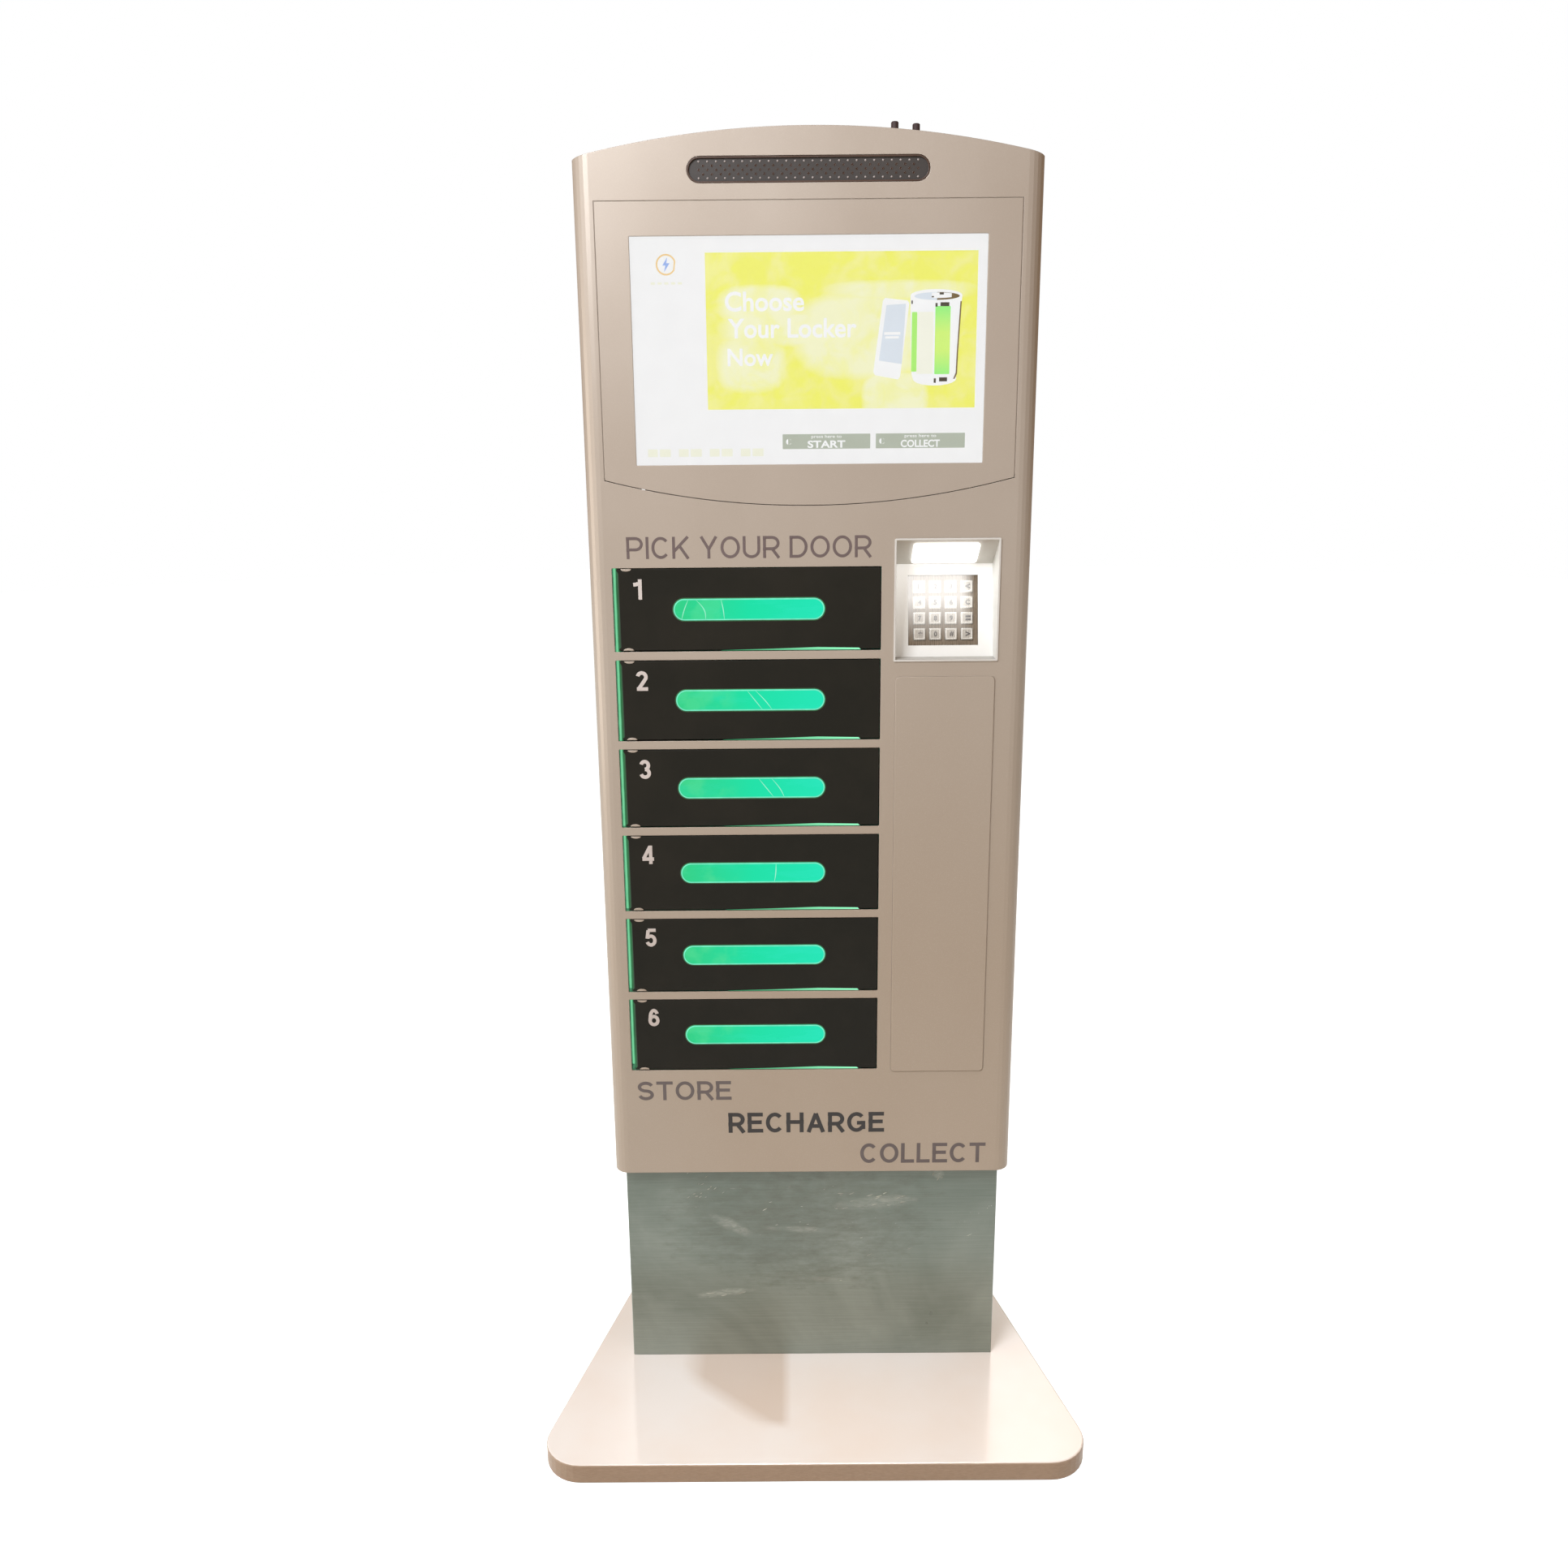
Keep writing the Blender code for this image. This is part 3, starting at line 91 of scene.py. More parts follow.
def placeCamera():
    yaw, pitch, roll = (math.radians(shot[k]) for k in ("yaw", "pitch", "roll"))
    level = math.cos(pitch)
    ahead = Vector((math.sin(yaw) * level, math.cos(yaw) * level, math.sin(pitch)))
    right = Vector((math.cos(yaw), -math.sin(yaw), 0.0))
    up = right.cross(ahead)
    turnedRight = right * math.cos(roll) + up * math.sin(roll)
    turnedUp = up * math.cos(roll) - right * math.sin(roll)
    data = bpy.data.cameras.new("shotCamera")
    data.lens = shot["lens"]
    data.sensor_width = shot["sensor"]
    camera = bpy.data.objects.new("shotCamera", data)
    turn = Matrix((turnedRight, turnedUp, -ahead)).transposed().to_4x4()
    camera.matrix_world = Matrix.Translation(shot["place"]) @ turn
    bpy.context.collection.objects.link(camera)
    bpy.context.scene.camera = camera


def hangLamp(data, place, aim, watts, colour):
    data.energy = watts
    data.color = colour
    lamp = bpy.data.objects.new(data.name, data)
    lamp.location = place
    lamp.rotation_euler = (Vector(aim) - Vector(place)).to_track_quat("-Z", "Y").to_euler()
    lamp.visible_camera = False
    bpy.context.collection.objects.link(lamp)


def lightStudio():
    world = bpy.data.worlds.new("paleRoom")
    bpy.context.scene.world = world
    world.use_nodes = True
    tree = world.node_tree
    sky = tree.nodes["Background"]
    sky.inputs["Color"].default_value = (*studio["skyColour"], 1.0)
    sky.inputs["Strength"].default_value = studio["skyPower"]
    backdrop = tree.nodes.new("ShaderNodeBackground")
    backdrop.inputs["Color"].default_value = (*studio["backdrop"], 1.0)
    ray = tree.nodes.new("ShaderNodeLightPath")
    choice = tree.nodes.new("ShaderNodeMixShader")
    tree.links.new(ray.outputs["Is Camera Ray"], choice.inputs[0])
    tree.links.new(sky.outputs[0], choice.inputs[1])
    tree.links.new(backdrop.outputs[0], choice.inputs[2])
    tree.links.new(choice.outputs[0], tree.nodes["World Output"].inputs["Surface"])
    for name, (place, aim, size, spread, watts, colour) in studio["lamps"].items():
        data = bpy.data.lights.new(name, "AREA")
        data.size = size
        data.spread = math.radians(spread)
        hangLamp(data, place, aim, watts, colour)
    over = studio["boardLamp"]
    data = bpy.data.lights.new("boardLamp", "AREA")
    data.shape = "RECTANGLE"
    data.size = over["wide"]
    data.size_y = over["deep"]
    data.spread = math.radians(over["spread"])
    hangLamp(data, over["place"], over["aim"], over["watts"], over["colour"])
    bpy.context.scene.view_settings.view_transform = "Standard"


# material nodes

class Finish:
    # A material and short ways to add nodes to it.

    def __init__(self, name, colour, roughness, metallic=0.0, **sockets):
        self.material = bpy.data.materials.new(name)
        self.material.use_nodes = True
        self.tree = self.material.node_tree
        self.shader = self.tree.nodes["Principled BSDF"]
        self.put("Base Color", colour)
        self.put("Roughness", roughness)
        self.put("Metallic", metallic)
        for socket, value in sockets.items():
            self.put(socket.replace("_", " "), value)
        self.place = self.add("ShaderNodeTexCoord").outputs["Object"]

    def add(self, kind, **settings):
        node = self.tree.nodes.new(kind)
        for key, value in settings.items():
            setattr(node, key, value)
        return node

    def put(self, socket, value):
        self.plug(self.shader.inputs[socket], value)

    def plug(self, socket, value):
        # A link if the value is a socket, or else the socket's own value.
        if isinstance(value, bpy.types.NodeSocket):
            self.tree.links.new(value, socket)
        elif isinstance(value, (tuple, list)) and len(value) == 3 and socket.type == "RGBA":
            socket.default_value = (*value, 1.0)
        else:
            socket.default_value = value

    def stretched(self, x, y, z, turn=0.0):     # turned about the y axis
        node = self.add("ShaderNodeMapping")
        self.plug(node.inputs["Vector"], self.place)
        node.inputs["Scale"].default_value = (x, y, z)
        node.inputs["Rotation"].default_value = (0.0, turn, 0.0)
        return node.outputs["Vector"]

    def noise(self, scale, detail=3.0, rough=0.55, vector=None, distortion=0.0):
        node = self.add("ShaderNodeTexNoise")
        self.plug(node.inputs["Vector"], vector or self.place)
        node.inputs["Scale"].default_value = scale
        node.inputs["Detail"].default_value = detail
        node.inputs["Roughness"].default_value = rough
        node.inputs["Distortion"].default_value = distortion
        return node.outputs["Fac"]

    def streaks(self, scales, detail, rough, distortion=0.0, turn=0.0):
        # Noise drawn out in one direction: its scale along x, y and z.
        return self.noise(1.0, detail, rough, self.stretched(*scales, turn), distortion)

    def cells(self, scale):
        node = self.add("ShaderNodeTexVoronoi")
        self.plug(node.inputs["Vector"], self.place)
        node.inputs["Scale"].default_value = scale
        return node.outputs

    def along(self, axis):
        node = self.add("ShaderNodeSeparateXYZ")
        self.plug(node.inputs[0], self.place)
        return node.outputs[axis]

    def facing(self, axis):
        # The surface normal's part along the object's axis.
        normal = self.add("ShaderNodeTexCoord").outputs["Normal"]
        node = self.add("ShaderNodeSeparateXYZ")
        self.plug(node.inputs[0], normal)
        return node.outputs[axis]

    def spread(self, value, low, high, toLow=0.0, toHigh=1.0):
        node = self.add("ShaderNodeMapRange")
        for key, number in zip(("Value", "From Min", "From Max", "To Min", "To Max"),
                               (value, low, high, toLow, toHigh)):
            self.plug(node.inputs[key], number)
        return node.outputs["Result"]

    def operate(self, operation, a, b=0.0):
        node = self.add("ShaderNodeMath", operation=operation)
        self.plug(node.inputs[0], a)
        self.plug(node.inputs[1], b)
        return node.outputs[0]

    def plus(self, a, b):
        return self.operate("ADD", a, b)

    def times(self, a, b):
        return self.operate("MULTIPLY", a, b)

    def most(self, a, b):
        return self.operate("MAXIMUM", a, b)

    def mix(self, share, first, second):
        node = self.add("ShaderNodeMix", data_type="RGBA")
        self.plug(node.inputs["Factor"], share)
        self.plug(node.inputs[6], first)
        self.plug(node.inputs[7], second)
        return node.outputs[2]

    def bump(self, height, depth, strength=1.0, edge=0.0):
        # Raises the surface by the height pattern, depth in metres; edge rounds sharp edges.
        node = self.add("ShaderNodeBump")
        self.plug(node.inputs["Height"], height)
        node.inputs["Distance"].default_value = depth
        node.inputs["Strength"].default_value = strength
        if edge:
            bevel = self.add("ShaderNodeBevel", samples=4)
            bevel.inputs["Radius"].default_value = edge
            self.plug(node.inputs["Normal"], bevel.outputs[0])
        return node.outputs[0]

    def glow(self, colour, power):
        self.put("Emission Color", colour)
        self.put("Emission Strength", power)


def satinPaint():
    look = {"light": (0.468, 0.412, 0.352), "dark": (0.420, 0.358, 0.296),
            "fleck": (0.66, 0.60, 0.53), "peel": 420.0,
            "low": (0.400, 0.318, 0.240),       # painted shade: darker and warmer towards the foot, most on the right
            "shadeShare": 0.80, "shadeTop": 1.22, "shadeFoot": 0.62}
    f = Finish("champagneSatinPaint", look["light"], 0.42, 0.30)
    clouds = f.noise(2.2, 4.0)
    fleck = f.noise(1500.0, 2.0)
    wipes = f.noise(9.0, 5.0, vector=f.stretched(1.0, 1.0, 0.35))
    colour = f.mix(f.spread(clouds, 0.3, 0.7), look["dark"], look["light"])
    # painted shade: the paint turns darker and warmer towards the foot and the right side
    paintedShade = f.spread(f.along(2), look["shadeTop"], look["shadeFoot"], 0.0, look["shadeShare"])
    paintedShade = f.times(paintedShade, f.spread(f.along(0), -0.27, -0.05, 0.55, 1.0))
    colour = f.mix(paintedShade, colour, look["low"])
    colour = f.mix(f.spread(fleck, 0.55, 0.75, 0.0, 0.22), colour, look["fleck"])
    f.put("Base Color", colour)
    f.put("Roughness", f.plus(f.spread(wipes, 0.3, 0.75, 0.36, 0.47),
                              f.spread(fleck, 0.4, 0.7, -0.03, 0.03)))
    f.put("Coat Weight", 0.12)
    f.put("Coat Roughness", 0.28)
    f.put("Normal", f.bump(f.noise(look["peel"], 2.0), 0.00012, 0.35, edge=0.0012))
    return f.material


def filmSteel():
    # Brushed steel that still wears its protective film: scuffs, dust and dried glue.
    look = {"deep": (0.110, 0.145, 0.114), "pale": (0.330, 0.375, 0.335),
            "scuff": (0.62, 0.66, 0.60),
            "murk": (0.098, 0.108, 0.078),      # a darker oval on the upper front of the column
            "murkPlace": (-0.01, 0.238, 0.205, 0.115, 0.0, -1.1),
            "smears": (     # middle x and z, half length, half width, lean in degrees, strength
                (-0.108, 0.232, 0.044, 0.010, -30, 0.62), (-0.015, 0.227, 0.056, 0.006, -4, 0.55),
                (0.088, 0.268, 0.064, 0.013, 4, 0.62), (0.173, 0.318, 0.009, 0.020, 8, 0.75),
                (-0.122, 0.128, 0.050, 0.007, 8, 0.75), (0.028, 0.147, 0.040, 0.005, -4, 0.30))}
    f = Finish("filmedSteel", look["deep"], 0.4, 0.25)
    height = f.along(2)
    wander = f.spread(f.streaks((34.0, 34.0, 90.0), 5.0, 0.7), 0.3, 0.7, -0.45, 0.75)

    def blot(x, z, halfLong, halfWide, lean, soft):
        # One soft oval on the front, 1 in the middle.
        angle = math.radians(lean)
        dx = f.operate("SUBTRACT", f.along(0), x)
        dz = f.operate("SUBTRACT", height, z)
        cosine, sine = math.cos(angle), math.sin(angle)
        u = f.plus(f.times(dx, cosine), f.times(dz, sine))
        v = f.operate("SUBTRACT", f.times(dz, cosine), f.times(dx, sine))
        u = f.times(u, 1.0 / halfLong)
        v = f.times(v, 1.0 / halfWide)
        away = f.plus(f.times(u, u), f.times(v, v))
        return f.spread(f.plus(away, wander), 1.0, soft)

    cloud = f.noise(3.2, 5.0, 0.6, distortion=0.6)
    grain = f.streaks((9.0, 9.0, 420.0), 4.0, 0.7)
    # painted light: the steel turns paler towards the foot of the column
    paintedLowLight = f.spread(height, 0.28, 0.03, 0.0, 0.55)
    share = f.plus(f.spread(cloud, 0.36, 0.68, 0.0, 0.6), paintedLowLight)
    share = f.plus(share, f.spread(grain, 0.3, 0.7, -0.10, 0.10))
    colour = f.mix(f.spread(share, 0.0, 1.0), look["deep"], look["pale"])
    longStroke = f.streaks((7.0, 7.0, 130.0), 6.0, 0.75, 0.4, 0.25)
    shortStroke = f.streaks((30.0, 30.0, 240.0), 5.0, 0.8, 1.0, -0.5)
    patch = f.noise(6.0, 2.0, 0.5)
    strokes = f.times(f.spread(longStroke, 0.66, 0.74, 0.0, 0.55), f.spread(patch, 0.45, 0.6))
    marks = f.times(f.spread(shortStroke, 0.66, 0.72, 0.0, 0.9), f.spread(patch, 0.5, 0.62))
    murk = blot(*look["murkPlace"])
    colour = f.mix(f.times(murk, 1.2), colour, look["murk"])
    upper = f.spread(height, 0.19, 0.27, 0.12, 1.0)
    marks = f.times(marks, upper)
    dust = f.times(f.spread(f.cells(150.0)["Distance"], 0.10, 0.03),
                   f.spread(f.noise(11.0, 3.0), 0.58, 0.68))
    smears = 0.0
    fray = f.streaks((60.0, 60.0, 300.0), 6.0, 0.75, 0.8)
    for x, z, halfLong, halfWide, lean, weight in look["smears"]:
        smear = f.times(blot(x, z, halfLong, halfWide, lean, 0.0), f.spread(fray, 0.30, 0.80))
        smears = f.most(f.times(smear, weight), smears)
    scuff = f.most(f.most(strokes, marks), f.times(dust, upper))
    scuff = f.most(scuff, smears)
    f.put("Base Color", f.mix(scuff, colour, look["scuff"]))
    f.put("Roughness", f.plus(f.spread(cloud, 0.3, 0.7, 0.26, 0.40), f.times(scuff, 0.3)))
    f.put("Coat Weight", 0.35)
    f.put("Coat Roughness", 0.16)
    puckers = f.noise(26.0, 3.0, 0.5, distortion=0.8)
    f.put("Normal", f.bump(f.plus(puckers, f.times(scuff, 0.4)), 0.0009, 0.30, edge=0.0015))
    return f.material


def creamBoard():
    # Glossy cream on the top faces, tan with fine streaks round the sides.
    look = {"top": (0.90, 0.875, 0.86), "blush": (0.88, 0.80, 0.74), "speck": (0.62, 0.50, 0.42),
            "side": (0.40, 0.285, 0.195), "sideStreakColour": (0.50, 0.37, 0.26),
            "darkPatch": (0.60, 0.47, 0.37), "shadowShare": 0.62,    # a faint painted shadow on the board before the column
            "shadowLeft": (-0.185, -0.150), "shadowRight": (-0.030, -0.044),
            "shadowBack": (-0.158, -0.140), "shadowSlant": (-0.255, -0.215)}
    f = Finish("creamLaminate", look["top"], 0.22)
    cloud = f.spread(f.noise(3.5, 4.0), 0.38, 0.66)
    top = f.mix(cloud, look["top"], look["blush"])
    # painted shadow: a soft darker patch on the top, in front of the column and left of the middle
    darkPatch = f.spread(f.along(0), *look["shadowLeft"])
    darkPatch = f.times(darkPatch, f.spread(f.along(0), *look["shadowRight"]))
    darkPatch = f.times(darkPatch, f.spread(f.along(1), *look["shadowBack"]))
    slant = f.plus(f.along(0), f.times(f.along(1), 1.15))
    darkPatch = f.times(darkPatch, f.spread(slant, *look["shadowSlant"]))
    top = f.mix(f.times(darkPatch, look["shadowShare"]), top, look["darkPatch"])
    specks = f.spread(f.noise(900.0, 2.0), 0.70, 0.78, 0.0, 0.35)
    top = f.mix(specks, top, look["speck"])
    sideStreaks = f.streaks((140.0, 140.0, 900.0), 5.0, 0.7)
    side = f.mix(f.spread(sideStreaks, 0.3, 0.7), look["side"], look["sideStreakColour"])
    flat = f.spread(f.facing(2), 0.35, 0.75)
    f.put("Base Color", f.mix(flat, side, top))
    scuffs = f.streaks((5.0, 60.0, 5.0), 5.0, 0.7, 0.5)
    f.put("Roughness", f.plus(f.spread(flat, 0.0, 1.0, 0.55, 0.17),
                              f.spread(scuffs, 0.55, 0.75, 0.0, 0.12)))
    f.put("Coat Weight", 0.25)
    f.put("Coat Roughness", 0.08)
    f.put("Normal", f.bump(f.noise(260.0, 3.0), 0.0002, 0.12))
    return f.material


def blackPaint():
    look = {"face": (0.0120, 0.0112, 0.0078), "worn": (0.0165, 0.0148, 0.0105)}
    f = Finish("doorBlackPaint", look["face"], 0.44, Specular_IOR_Level=0.16)
    f.put("Base Color", f.mix(f.spread(f.noise(14.0, 4.0), 0.4, 0.7), look["face"], look["worn"]))
    touch = f.noise(22.0, 5.0, 0.65, distortion=0.7)
    f.put("Roughness", f.spread(touch, 0.3, 0.72, 0.40, 0.52))
    f.put("Normal", f.bump(f.noise(650.0, 2.0), 0.0001, 0.5, edge=0.0008))
    return f.material


def glowingWindow():
    # Green acrylic lit from behind: bluer and brighter towards the lock.
    look = {"left": (0.030, 0.60, 0.225), "middle": (0.008, 0.72, 0.37),
            "right": (0.012, 0.755, 0.46), "veil": (0.04, 0.80, 0.60), "haze": (0.10, 0.72, 0.30)}
    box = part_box("window_1")
    f = Finish("litAcrylic", (0.001, 0.03, 0.015), 0.25, Specular_IOR_Level=0.12)
    share = f.spread(f.along(0), box[0].x + windowLip, box[1].x - windowLip)
    colour = f.mix(f.spread(share, 0.0, 0.5), look["left"], look["middle"])
    colour = f.mix(f.spread(share, 0.5, 1.0), colour, look["right"])
    veil = f.streaks((14.0, 14.0, 60.0), 4.0, 0.6)
    colour = f.mix(f.spread(veil, 0.5, 0.8, 0.0, 0.30), colour, look["veil"])
    haze = f.times(f.spread(f.noise(30.0, 3.0), 0.45, 0.6), f.spread(share, 0.42, 0.30))
    colour = f.mix(f.times(haze, 0.4), colour, look["haze"])
    f.glow(colour, 1.0)
    f.put("Roughness", f.spread(veil, 0.3, 0.7, 0.16, 0.34))
    f.put("Normal", f.bump(f.noise(60.0, 3.0), 0.0004, 0.2))
    return f.material


def plainGlow(name, colour, power, patchScale=30.0, change=0.06, base=(0.02, 0.02, 0.02)):
    # A lit surface with a little unevenness.
    f = Finish(name, base, 0.5)
    dimmer = tuple(c * (1.0 - change) for c in colour)
    f.glow(f.mix(f.spread(f.noise(patchScale, 3.0), 0.35, 0.65), dimmer, colour), power)
    f.put("Roughness", f.spread(f.noise(patchScale * 3, 2.0), 0.3, 0.7, 0.45, 0.6))
    return f.material


def edgeStripLight():
    # The strip is brightest along its outer side and fades to a dark green.
    look = {"core": (0.19, 0.66, 0.34), "fade": (0.010, 0.115, 0.035)}
    low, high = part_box("led_strip")
    f = Finish("stripLight", (0.01, 0.10, 0.04), 0.5)
    share = f.spread(f.along(0), low.x + 0.0016, high.x - 0.0004)
    share = f.plus(share, f.spread(f.noise(45.0, 3.0), 0.35, 0.65, -0.10, 0.10))
    f.glow(f.mix(f.spread(share, 0.0, 1.0), look["core"], look["fade"]), 1.0)
    f.put("Roughness", f.spread(f.noise(135.0, 2.0), 0.3, 0.7, 0.45, 0.6))
    return f.material


def clearGlass():
    f = Finish("screenCoverGlass", (0.99, 1.0, 0.995), 0.02, Transmission_Weight=1.0, IOR=1.46)
    prints = f.noise(16.0, 5.0, 0.6, distortion=1.2)
    f.put("Roughness", f.spread(prints, 0.55, 0.8, 0.01, 0.07))
    return f.material


def mouldedPlastic(name, colour, roughness=0.5, grain=420.0, change=0.8):
    f = Finish(name, colour, roughness)
    darker = tuple(c * change for c in colour)
    f.put("Base Color", f.mix(f.spread(f.noise(24.0, 4.0), 0.35, 0.7), darker, colour))
    f.put("Roughness", f.spread(f.noise(40.0, 4.0), 0.3, 0.7, roughness - 0.07, roughness + 0.08))
    f.put("Normal", f.bump(f.noise(grain, 3.0), 0.00015, 0.4, edge=0.0005))
    return f.material


def brushedMetal(name, colour, roughness=0.3, metallic=0.9):
    f = Finish(name, colour, roughness, metallic)
    grain = f.streaks((40.0, 40.0, 900.0), 4.0, 0.65)
    darkPatch = f.noise(30.0, 4.0)
    darker = tuple(c * 0.78 for c in colour)
    f.put("Base Color", f.mix(f.spread(darkPatch, 0.35, 0.75), colour, darker))
    f.put("Roughness", f.plus(f.spread(grain, 0.3, 0.7, roughness - 0.08, roughness + 0.1),
                             f.spread(darkPatch, 0.4, 0.8, 0.0, 0.08)))
    f.put("Normal", f.bump(grain, 0.0001, 0.25, edge=0.0005))
    return f.material


lampWash = {         # light that the keypad's lamp throws on the wall under it
    "colour": (1.0, 0.995, 0.98),
    "top": 1.130,
    "bottom": 1.010,
    "keysTop": 1.098,
    "keysBottom": 1.040,
    "leftSide": 0.188,  # full strength up to here
    "rightSide": 0.205,
    "wall": 0.52,
    "wallLeast": 0.40,  # share of the wash left at the foot of the wall
    "metal": 0.74,
}


def addWash(f, power, fromLeft):
    # Brightest under the lamp, gone at the foot of the keypad.
    low, high = ("keysBottom", "keysTop") if fromLeft else ("bottom", "top")
    least = 0.0 if fromLeft else lampWash["wallLeast"]
    wash = f.operate("POWER", f.spread(f.along(2), lampWash[low], lampWash[high], least), 1.5)
    if fromLeft:
        aside = f.spread(f.along(0), lampWash["rightSide"], lampWash["leftSide"])
        wash = f.times(wash, aside)
    f.glow(lampWash["colour"], f.times(wash, power))
    return wash


def washedMoulding():
    look = {"light": (0.70, 0.70, 0.665), "dark": (0.65, 0.645, 0.61),
            "ledge": (0.36, 0.345, 0.315)}
    f = Finish("silverMoulding", look["light"], 0.36)
    tone = f.mix(f.spread(f.noise(24.0, 4.0), 0.35, 0.7), look["dark"], look["light"])
    f.put("Base Color", f.mix(f.spread(f.facing(2), 0.55, 0.85), tone, look["ledge"]))
    f.put("Roughness", f.spread(f.noise(40.0, 4.0), 0.3, 0.7, 0.30, 0.44))
    f.put("Normal", f.bump(f.noise(300.0, 3.0), 0.00015, 0.4, edge=0.0005))
    wash = addWash(f, lampWash["wall"], False)
    inRecess = f.spread(f.along(1), -0.022, -0.004)
    towardsFront = f.spread(f.facing(1), -0.80, -0.95)
    wash = f.times(wash, f.times(inRecess, towardsFront))
    f.put("Emission Strength", f.times(wash, lampWash["wall"]))
    return f.material


def washedMetal(name, colour, roughness):
    f = Finish(name, colour, roughness, 0.5)
    grain = f.streaks((900.0, 40.0, 40.0), 4.0, 0.65)
    darker = tuple(c * 0.8 for c in colour)
    f.put("Base Color", f.mix(f.spread(f.noise(45.0, 4.0), 0.35, 0.75), colour, darker))
    f.put("Roughness", f.spread(grain, 0.3, 0.7, roughness - 0.06, roughness + 0.1))
    f.put("Normal", f.bump(grain, 0.0001, 0.2, edge=0.0005))
    addWash(f, lampWash["metal"], True)
    return f.material


def spangledZinc():
    # Galvanised sheet: crystal patches of slightly different grey.
    f = Finish("spangledZinc", (0.52, 0.53, 0.54), 0.4, 0.85)
    tone = f.add("ShaderNodeSeparateColor")
    f.plug(tone.inputs[0], f.cells(95.0)["Color"])
    f.put("Base Color", f.mix(tone.outputs[0], (0.44, 0.45, 0.46), (0.60, 0.61, 0.62)))
    f.put("Roughness", f.spread(tone.outputs[1], 0.0, 1.0, 0.32, 0.50))
    f.put("Normal", f.bump(f.noise(200.0, 3.0), 0.0001, 0.4, edge=0.0006))
    return f.material


# shaping

def dress(obj, material, body):
    obj.data.materials.clear()
    obj.data.materials.append(material)
    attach(obj, body)
    return obj


def asObject(name, shape, material, body, smoothAngle=None, edge=0.0):
    mesh = bpy.data.meshes.new(name)
    bmesh.ops.recalc_face_normals(shape, faces=shape.faces)
    shape.to_mesh(mesh)
    shape.free()
    obj = bpy.data.objects.new(name, mesh)
    bpy.context.collection.objects.link(obj)
    if edge:
        bevel = obj.modifiers.new("edge", "BEVEL")
        bevel.width = edge
        bevel.segments = 2
        bevel.limit_method = "ANGLE"
        bevel.angle_limit = math.radians(40)
    if smoothAngle:
        mesh.shade_smooth()
        mesh.set_sharp_from_angle(angle=math.radians(smoothAngle))
    return dress(obj, material, body)


def arcPoints(centre, radius, start, end, steps):
    angles = [math.radians(start + (end - start) * i / steps) for i in range(steps + 1)]
    return [(centre[0] + radius * math.cos(a), centre[1] + radius * math.sin(a)) for a in angles]


def roundedBox(left, right, low, high, radius=0.001, steps=4):
    # A rounded rectangle as a list of (x, z).
    radius = min(radius, (right - left) / 2 - 1e-5, (high - low) / 2 - 1e-5)
    corners = ((right - radius, high - radius, 0), (left + radius, high - radius, 90),
               (left + radius, low + radius, 180), (right - radius, low + radius, 270))
    points = []
    for x, z, start in corners:
        points += arcPoints((x, z), radius, start, start + 90, steps)
    return points


def pillInside(box, inset, steps=14):
    # A long round-ended outline inside a box's front.
    low, high = box
    return roundedBox(low.x + inset, high.x - inset, low.z + inset, high.z - inset, 1.0, steps)


def skin(shape, loops, closed=False):
    # Faces from each loop of vertices to the next; the ends are capped unless it's closed.
    following = loops[1:] + loops[:1] if closed else loops[1:]
    for a, b in zip(loops, following):
        for i in range(len(a)):
            j = (i + 1) % len(a)
            shape.faces.new((a[i], a[j], b[j], b[i]))
    if not closed:
        shape.faces.new(loops[0])
        shape.faces.new(loops[-1])
    return shape


def slab(shape, outline, front, back):
    # Adds a flat plate to a bmesh: an (x, z) outline between two y values.
    return skin(shape, [[shape.verts.new((x, y, z)) for x, z in outline] for y in (front, back)])


def ringSlab(shape, outer, inner, front, back):
    # A flat ring between two outlines of equally many points.
    loops = [[shape.verts.new((x, y, z)) for x, z in outline]
             for outline, y in ((outer, front), (outer, back), (inner, back), (inner, front))]
    return skin(shape, loops, closed=True)


def plate(name, outline, front, back, material, body, **more):
    return asObject(name, slab(bmesh.new(), outline, front, back), material, body, **more)


def turnedShape(shape, profile, centre, axis, steps=24):
    # Adds a round solid from (radius, distance) pairs along a direction from the centre.
    ahead = Vector(axis).normalized()
    side = ahead.orthogonal().normalized()
    other = ahead.cross(side)
    rings = []
    for radius, distance in profile:
        middle = Vector(centre) + ahead * distance
        ring = []
        for i in range(steps):
            angle = 2 * math.pi * i / steps
            outwards = side * math.cos(angle) + other * math.sin(angle)
            ring.append(shape.verts.new(middle + outwards * radius))
        rings.append(ring)
    return skin(shape, rings)


def letterShape(words, weight):
    # Flat lettering as a mesh with its thickness along +Z, one unit high or so.
    curve = bpy.data.curves.new("letters", "FONT")
    curve.body = words
    curve.offset = weight
    curve.extrude = 0.5
    curve.resolution_u = 4      # short steps in the curves
    obj = bpy.data.objects.new("letters", curve)
    bpy.context.collection.objects.link(obj)
    graph = bpy.context.evaluated_depsgraph_get()
    mesh = bpy.data.meshes.new_from_object(obj.evaluated_get(graph))
    bpy.data.objects.remove(obj)
    bpy.data.curves.remove(curve)
    return mesh


